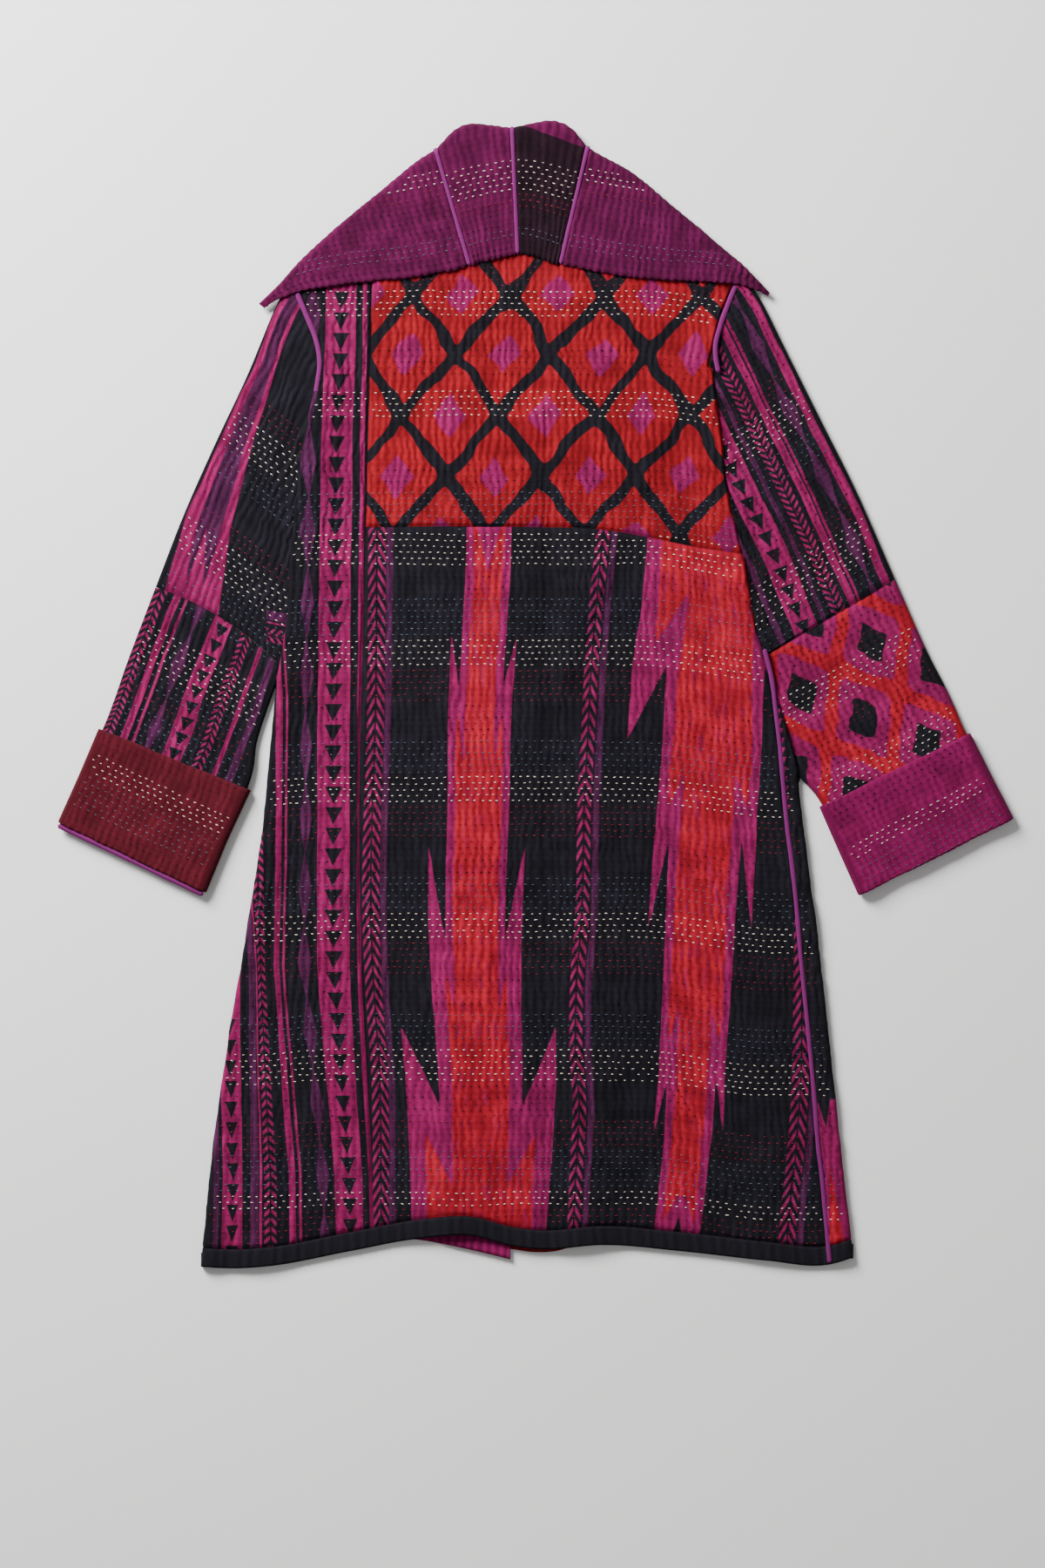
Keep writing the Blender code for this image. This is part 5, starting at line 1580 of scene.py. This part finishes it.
# Squares of each shell that have no stitches at its top, bottom, left and right
BACK_RIMS = {
    "back_strip_left": (3, 3, 0, 3),
    "back_yoke": (3, 3, 3, 3),
    "back_skirt": (3, 3, 3, 3),
    "front_side_right": (3, 3, 3, 1),
}
SLEEVE_RIM = (2, 2, 1, 1)
COLLAR_RIM = (0, 0, 1, 1)
BACK_SEED, SLEEVE_SEED, COLLAR_SEED = 201, 211, 221


def stitch_shell(name, shade_of, seed, rim):
    """Running stitches through every whole count of ripples and rows of a shell."""
    sizes = bpy.context.scene.coat_sizes
    rng = np.random.default_rng(seed)
    shell = shells[name]
    grid = shell.grid
    (i, j), down, across, row, row_down, row_across = crossings(shell.count, shell.rows)
    step_across, step_down = grid[i, j + 1] - grid[i, j], grid[i + 1, j] - grid[i, j]
    # a stitch runs along its row, which goes this way through the cell
    sign = np.where(row_down > 0, 1.0, -1.0)
    way_across, way_down = row_down * sign, -row_across * sign
    step = np.linalg.norm(step_across * way_across[:, None] + step_down * way_down[:, None], axis=1)
    half = sizes.stitch_length / 2 * rng.uniform(0.75, 1.18, len(i)) / step
    slide = rng.normal(0, 0.00035, len(i)) / step
    cell_length = np.maximum(np.linalg.norm(step_down, axis=1), 1e-5)
    drop = rng.normal(0, 0.00022, len(i)) / cell_length
    tilt = rng.normal(0, 0.00014, len(i)) / cell_length
    ends = []
    for way in (-1, 1):
        reach = slide + way * half
        ends.append((i + down + drop + way * tilt + way_down * reach, j + across + way_across * reach))
    rows, cols = grid.shape[:2]
    length = np.linalg.norm(sample(grid, *ends[0]) - sample(grid, *ends[1]), axis=1)
    keep = length < 1.5 * sizes.stitch_length
    for end_row, end_col in ends:
        keep &= (end_row > rim[0]) & (end_row < rows - 1 - rim[1])
        keep &= (end_col > rim[2]) & (end_col < cols - 1 - rim[3])
    (row_a, col_a), (row_b, col_b) = ((end_row[keep], end_col[keep]) for end_row, end_col in ends)
    normals = sample(shell.normals, (row_a + row_b) / 2, (col_a + col_b) / 2)
    normals /= np.linalg.norm(normals, axis=1, keepdims=True)
    shades = shade_of(row[keep] * sizes.row_pitch / SQUARE)
    width = sizes.thread_width * rng.uniform(0.85, 1.15, len(row_a))
    sew(sample(grid, row_a, col_a), sample(grid, row_b, col_b), normals, shades, width)


# Sections of a stitch: the share of its length, half its width and how far it stands up
STITCH_SECTIONS = ((0.0, 0.0, -0.15), (0.16, 0.504, 0.55), (0.84, 0.504, 0.55), (1.0, 0.0, -0.15))
# Corners of its faces, numbered from its first tip to its last
STITCH_QUADS = ((1, 2, 5, 4), (2, 3, 6, 5))
STITCH_TRIS = ((0, 2, 1), (0, 3, 2), (7, 4, 5), (7, 5, 6))
STITCH_CORNERS = 8


def add_stitches(shade):
    """All stitches of one thread: low ridges that dive into the cloth at both ends."""
    start, end, normal, width = (np.concatenate([part[k] for part in sewn[shade]]) for k in range(4))
    along = end - start
    along = along / np.linalg.norm(along, axis=1, keepdims=True)
    side = np.cross(normal, along)
    side /= np.linalg.norm(side, axis=1, keepdims=True)
    rise = bpy.context.scene.coat_sizes.thread_width * 0.62
    points = []
    for share, half, high in STITCH_SECTIONS:
        middle = start + (end - start) * share
        if half == 0.0:
            points.append(middle + normal * high * rise)
        else:
            foot, sunk = side * width[:, None] * half, normal * 0.25 * rise
            points += [middle - foot - sunk, middle + normal * high * rise * 1.6, middle + foot - sunk]
    first = (np.arange(len(start)) * STITCH_CORNERS)[:, None, None]
    quads = (first + np.array(STITCH_QUADS)).reshape(-1, 4)
    tris = (first + np.array(STITCH_TRIS)).reshape(-1, 3)
    piece = add_mesh("stitches_" + shade, np.stack(points, axis=1), quads[:, ::-1],
                     thread("thread_" + shade, shade), None, tris[:, ::-1])
    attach(piece, "root")


def resampled(path, step):
    path = np.asarray(path, float)
    walked = np.concatenate([[0], np.linalg.norm(np.diff(path, axis=0), axis=1).cumsum()])
    places = np.arange(0, walked[-1], step)
    return np.column_stack([np.interp(places, walked, path[:, k]) for k in range(3)])


# The whipped cord: a ring of points at every step, and how far apart its turns are and how they lean
OVERCAST_STEP = 0.0005
OVERCAST_SIDES = 12
TURN_PITCH, TURN_LEAN = 0.0017, 0.55


def add_overcast(name, path, across, high, material):
    """A seam whipped over with thread: a flat cord with slanting turns."""
    path = resampled(path, OVERCAST_STEP)
    run = np.gradient(path, axis=0)
    run /= np.linalg.norm(run, axis=1, keepdims=True)
    side = np.cross(run, np.array([0, 0, 1.0]))
    side /= np.linalg.norm(side, axis=1, keepdims=True)
    up = np.cross(side, run)
    turns = np.linspace(0, 2 * np.pi, OVERCAST_SIDES, endpoint=False)
    walked = np.arange(len(path)) * OVERCAST_STEP
    phase = walked[:, None] / TURN_PITCH + TURN_LEAN * np.cos(turns)[None, :]
    bulge = 1 + 0.16 * np.abs(np.sin(np.pi * phase)) - 0.10
    wander = 1 + 0.10 * lattice(walked, walked * 0, 0.012, 77)[:, None]
    taper = np.minimum(1, np.minimum(walked, walked[-1] - walked) / 0.002 + 0.25)[:, None]
    radius = bulge * wander * taper
    grid = (path[:, None] + side[:, None] * (across / 2 * radius * np.cos(turns)[None, :])[..., None]
            + up[:, None] * (high / 2 * radius * np.sin(turns)[None, :])[..., None])
    grid[..., 2] = np.maximum(grid[..., 2], 0.0002)
    quads = grid_quads(grid.shape[0], grid.shape[1], True)
    first = np.arange(OVERCAST_SIDES)
    tris = []
    for end in (first[::-1], first + (len(path) - 1) * OVERCAST_SIDES):
        for k in range(1, OVERCAST_SIDES - 1):
            tris.append((end[0], end[k], end[k + 1]))
    piece = add_mesh(name, grid, quads[:, ::-1], material, None, tris)
    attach(piece, "root")


# The thread round the left cuff's fold: how far past the sleeve's last section, how high, how thick
CUFF_SEAM_PAST, CUFF_SEAM_HEIGHT, CUFF_SEAM_WIDTH = 0.0024, 0.0066, 0.0050
# Where the whipped seams run on the back, in squares of the chart
LEFT_ARMHOLE = [(341, 336), (352, 362), (361, 384), (366, 403), (367.5, 418), (365.5, 436), (363, 452)]
RIGHT_ARMHOLE = [(845, 328), (836, 350), (827, 375), (821.5, 398), (822, 412), (825, 428)]
RIGHT_SIDE = [
    (877.5, 745), (885, 774), (891, 820), (895.5, 858), (899, 896), (904, 950), (909, 988),
    (914.5, 1039), (920, 1103), (926.5, 1167), (931.5, 1218), (936, 1269), (940, 1320),
    (943, 1344), (948, 1395), (953, 1450),
]


def seam_path(places, lift):
    """A line of chart places laid on the back."""
    v = np.linspace(places[0][1], places[-1][1], 120)
    u = smooth(v, [p[1] for p in places], [p[0] for p in places])
    x, y = chart_x(u), chart_y(v)
    return np.column_stack([x, y, back_height(x, y) + lift])


def add_area(name, place, target, size, power):
    light = bpy.data.lights.new(name, "AREA")
    light.shape = "SQUARE"
    light.size = size
    light.energy = power
    lamp = bpy.data.objects.new(name, light)
    lamp.location = place
    lamp.rotation_euler = (Vector(target) - Vector(place)).to_track_quat("-Z", "Y").to_euler()
    bpy.context.scene.collection.objects.link(lamp)


class CoatSizes(bpy.types.PropertyGroup):
    """Sizes of the quilting and its threads"""
    ripple_pitch: bpy.props.FloatProperty(
        name="Ripple pitch", description="From one quilting ripple to the next", default=0.0071,
        min=0.004, max=0.02, precision=4, unit="LENGTH")
    ripple_height: bpy.props.FloatProperty(
        name="Ripple height", description="How far a ripple stands up", default=0.0013,
        min=0.0, max=0.003, precision=4, unit="LENGTH")
    row_pitch: bpy.props.FloatProperty(
        name="Row pitch", description="From one row of stitches to the next", default=0.00558,
        min=0.003, max=0.02, precision=4, unit="LENGTH")
    stitch_length: bpy.props.FloatProperty(
        name="Stitch length", description="Thread that shows at each stitch", default=0.0027,
        min=0.001, max=0.008, precision=4, unit="LENGTH")
    thread_width: bpy.props.FloatProperty(
        name="Thread width", description="Width of the quilting thread", default=0.00062,
        min=0.0003, max=0.002, precision=4, unit="LENGTH")
    seam_width: bpy.props.FloatProperty(
        name="Seam width", description="Width of an overcast seam", default=0.0050,
        min=0.001, max=0.01, precision=4, unit="LENGTH")


def shade_property(name, description, code):
    return bpy.props.FloatVectorProperty(
        name=name, description=description, default=web_colour(code), size=3, min=0, max=1, subtype="COLOR")


class CoatColours(bpy.types.PropertyGroup):
    """Colours of the cloths and threads"""
    black: shade_property("Black", "Ground of the printed cloth", "#16141a")
    red: shade_property("Red", "Red of the printed cloth", "#901725")
    yoke_red: shade_property("Yoke red", "Deeper red of the yoke's print", "#7e131b")
    fuchsia: shade_property("Fuchsia", "Fuchsia of the printed cloth", "#761446")
    plum: shade_property("Plum", "Dull purple of the printed cloth", "#411838")
    purple: shade_property("Purple", "Thread of the overcast seams", "#661f58")
    lining_fuchsia: shade_property("Left lining", "Inside of the left front", "#77144a")
    lining_red: shade_property("Right lining", "Inside of the right front", "#701419")
    brick: shade_property("Left cuff", "Cloth of the left cuff", "#4f131e")
    magenta: shade_property("Right cuff", "Cloth of the right cuff", "#710f45")
    collar: shade_property("Collar", "Cloth of the collar", "#4c0c34")
    collar_dark: shade_property("Collar wedge", "Cloth of the dark wedge", "#1c0d16")
    band: shade_property("Hem band", "Cloth of the band round the hem", "#19171d")
    cream: shade_property("Cream thread", "Palest quilting thread", "#e2d8c0")
    slate: shade_property("Slate thread", "Blue-grey quilting thread", "#4c5868")
    crimson: shade_property("Crimson thread", "Red quilting thread", "#7d2232")
    dark: shade_property("Dark thread", "Black quilting thread", "#17121a")
    floor: shade_property("Floor", "Surface under the coat", "#eeedec")


class COAT_OT_back(bpy.types.Operator):
    """Sew the panels of the back"""
    bl_idname = "coat.back"
    bl_label = "Back"

    def execute(self, context):
        make_strip()
        make_panel("back_yoke", 0, 1, YOKE_LENGTH, yoke_cloth(), 31)
        make_panel("back_skirt", 1, 2, SKIRT_LENGTH, skirt_cloth(), 11)
        make_side()
        return {"FINISHED"}


class COAT_OT_hem(bpy.types.Operator):
    """Sew the band round the hem"""
    bl_idname = "coat.hem"
    bl_label = "Hem band"

    def execute(self, context):
        make_band()
        return {"FINISHED"}


class COAT_OT_fronts(bpy.types.Operator):
    """Lay the two fronts under the back"""
    bl_idname = "coat.fronts"
    bl_label = "Fronts"

    def execute(self, context):
        make_front("front_left", front_left_side, LEFT_FRONT_HEM, LEFT_FRONT_EDGE,
                   ["lapel_left", "overlap"], "lining_fuchsia")
        make_front("front_right", front_right_side, RIGHT_FRONT_HEM, RIGHT_FRONT_EDGE,
                   ["lapel_right"], "lining_red")
        return {"FINISHED"}


class COAT_OT_sleeves(bpy.types.Operator):
    """Sew the sleeves, each in two parts"""
    bl_idname = "coat.sleeves"
    bl_label = "Sleeves"

    def execute(self, context):
        parts = (
            ("sleeve_left_upper", LEFT_UPPER, left_upper_cloth, 51, 37, 21, None),
            ("sleeve_left_lower", [moved(LEFT_UPPER[-1], SEAM)] + LEFT_LOWER,
             left_lower_cloth, 61, 29, None, LEFT_CUFF),
            ("sleeve_right_upper", RIGHT_UPPER, right_upper_cloth, 71, -33, -22, None),
            ("sleeve_right_lower", [moved(RIGHT_UPPER[-1], SEAM)] + RIGHT_LOWER,
             right_lower_cloth, 81, -29, None, RIGHT_CUFF),
        )
        for name, sections, cloth, seed, degrees, lean, cuff in parts:
            rings = sleeve_rings(sections, LONG)
            lower = name.endswith("lower")
            fades = (0.0011, 0.0) if lower else (0.0, 0.0011)
            make_tube(name, rings, cloth(), SLEEVE_COLUMNS, seed, degrees, fades, lean, cuff)
        return {"FINISHED"}


class COAT_OT_cuffs(bpy.types.Operator):
    """Turn back the cuffs"""
    bl_idname = "coat.cuffs"
    bl_label = "Cuffs"

    def execute(self, context):
        make_cuff("cuff_left", LEFT_CUFF, plain_cloth("cuff_left_cloth", "brick"), 91, 25)
        make_cuff("cuff_right", RIGHT_CUFF, plain_cloth("cuff_right_cloth", "magenta"),
                  95, -28)
        return {"FINISHED"}


class COAT_OT_collar(bpy.types.Operator):
    """Fold the collar over the shoulders and lay the lapels under the fronts"""
    bl_idname = "coat.collar"
    bl_label = "Collar and lapels"

    def execute(self, context):
        magenta, dark = plain_cloth("collar_cloth", "collar"), wedge_cloth()
        for number, piece in enumerate(COLLAR_PIECES):
            make_collar_piece(piece, dark if piece.material == "plum_cloth" else magenta, 101 + 4 * number)
        for lapel in LAPELS:
            make_lapel(lapel)
        return {"FINISHED"}


class COAT_OT_seams(bpy.types.Operator):
    """Whip the armhole, side, collar and cuff seams with purple thread"""
    bl_idname = "coat.seams"
    bl_label = "Overcast seams"

    def execute(self, context):
        width = context.scene.coat_sizes.seam_width
        purple = thread("seam_thread", "purple")
        add_overcast("seam_armhole_left", seam_path(LEFT_ARMHOLE, 0.0006), width, 0.0026, purple)
        add_overcast("seam_armhole_right", seam_path(RIGHT_ARMHOLE, 0.0006), width, 0.0024, purple)
        add_overcast("seam_side_right", seam_path(RIGHT_SIDE, 0.0004), width * 0.9, 0.0024, purple)
        for number, piece in enumerate(COLLAR_PIECES[1:]):
            line, _ = collar_line(piece.first)
            line = line[1:-UNDER_STEPS].copy()
            line[:, 2] += 0.0001
            add_overcast(f"seam_collar_{number + 1}", line, width * 0.8, 0.0018, purple)
        fold = moved(LEFT_CUFF[-1], CUFF_SEAM_PAST)
        points, _ = ring(fold, 40)
        line = points[ROLL_STEPS - 2:ROLL_STEPS + 43].copy()
        line[:, 2] = CUFF_SEAM_HEIGHT
        add_overcast("seam_cuff_left", line, CUFF_SEAM_WIDTH, CUFF_SEAM_WIDTH, purple)
        return {"FINISHED"}


class COAT_OT_stitches(bpy.types.Operator):
    """Sew the rows of running stitch through every panel"""
    bl_idname = "coat.stitches"
    bl_label = "Running stitches"

    def execute(self, context):
        if "back_skirt" not in shells or "collar_wing_left" not in shells:
            raise RuntimeError("the panels come before the stitches")
        sewn.clear()
        for number, (name, rim) in enumerate(BACK_RIMS.items()):
            stitch_shell(name, lambda down: band_shades(BACK_BANDS, down + FIRST_ROW),
                         BACK_SEED + number, rim)
        for number, (name, bands) in enumerate(SLEEVE_BANDS.items()):
            stitch_shell(name, lambda down, bands=bands: band_shades(bands, down),
                         SLEEVE_SEED + number, SLEEVE_RIM)
        for number, piece in enumerate(COLLAR_PIECES):
            bands = WEDGE_BANDS if "wedge" in piece.name else WING_BANDS
            stitch_shell(piece.name, lambda down, bands=bands: band_shades(bands, down),
                         COLLAR_SEED + number, COLLAR_RIM)
        for shade in sorted(sewn):
            add_stitches(shade)
        return {"FINISHED"}


class COAT_OT_stage(bpy.types.Operator):
    """Lay the floor, hang the lights and set the camera"""
    bl_idname = "coat.stage"
    bl_label = "Stage"

    def execute(self, context):
        scene = context.scene
        bpy.ops.mesh.primitive_plane_add(size=14.0, location=(0, 0, -0.0002))
        floor = context.active_object
        floor.name = "floor"
        paper = Dyeing("floor_paper", rough=0.95, sheen=0.0)
        cloudy = paper.scaled(paper.noise(3, 3, 3, 1), 0.02, 0.02)
        darker = tuple(0.9 * part for part in colour("floor"))
        paper.put(paper.shader.inputs["Base Color"], paper.over(colour("floor"), cloudy, darker))
        floor.data.materials.append(paper.material)
        world = bpy.data.worlds.new("studio")
        world.use_nodes = True
        world.node_tree.nodes["Background"].inputs["Color"].default_value = (1, 1, 1, 1)
        world.node_tree.nodes["Background"].inputs["Strength"].default_value = 0.29
        scene.world = world
        add_area("key", place=(-1.65, 1.85, 1.55), target=(-0.1, 0.1, 0), size=1.3, power=290)
        add_area("fill", place=(1.6, -1.6, 2.6), target=(0, 0, 0), size=2.4, power=6)
        camera = bpy.data.cameras.new("camera")
        camera.lens = 85
        camera.sensor_width = 36
        holder = bpy.data.objects.new("camera", camera)
        holder.location = (-0.0125, -0.0841, 3.490)
        scene.collection.objects.link(holder)
        scene.camera = holder
        return {"FINISHED"}


class COAT_PT_panel(bpy.types.Panel):
    """Sizes, colours and the steps of sewing the coat"""
    bl_label = "Kantha coat"
    bl_idname = "COAT_PT_panel"
    bl_space_type = "VIEW_3D"
    bl_region_type = "UI"
    bl_category = "Coat"

    def draw(self, context):
        for group in (context.scene.coat_sizes, context.scene.coat_colours):
            box = self.layout.box()
            for name in group.__annotations__:
                box.prop(group, name)
        for step in STEPS:
            self.layout.operator(step.bl_idname)


STEPS = (COAT_OT_back, COAT_OT_hem, COAT_OT_fronts, COAT_OT_sleeves, COAT_OT_cuffs, COAT_OT_collar,
         COAT_OT_seams, COAT_OT_stitches, COAT_OT_stage)
CLASSES = (CoatSizes, CoatColours, *STEPS, COAT_PT_panel)


def register():
    for item in CLASSES:
        bpy.utils.register_class(item)
    bpy.types.Scene.coat_sizes = bpy.props.PointerProperty(type=CoatSizes)
    bpy.types.Scene.coat_colours = bpy.props.PointerProperty(type=CoatColours)


def unregister():
    del bpy.types.Scene.coat_colours
    del bpy.types.Scene.coat_sizes
    for item in reversed(CLASSES):
        bpy.utils.unregister_class(item)


def main():
    register()
    for step in STEPS:
        group, name = step.bl_idname.split(".")
        getattr(getattr(bpy.ops, group), name)()


if __name__ == "__main__":
    main()
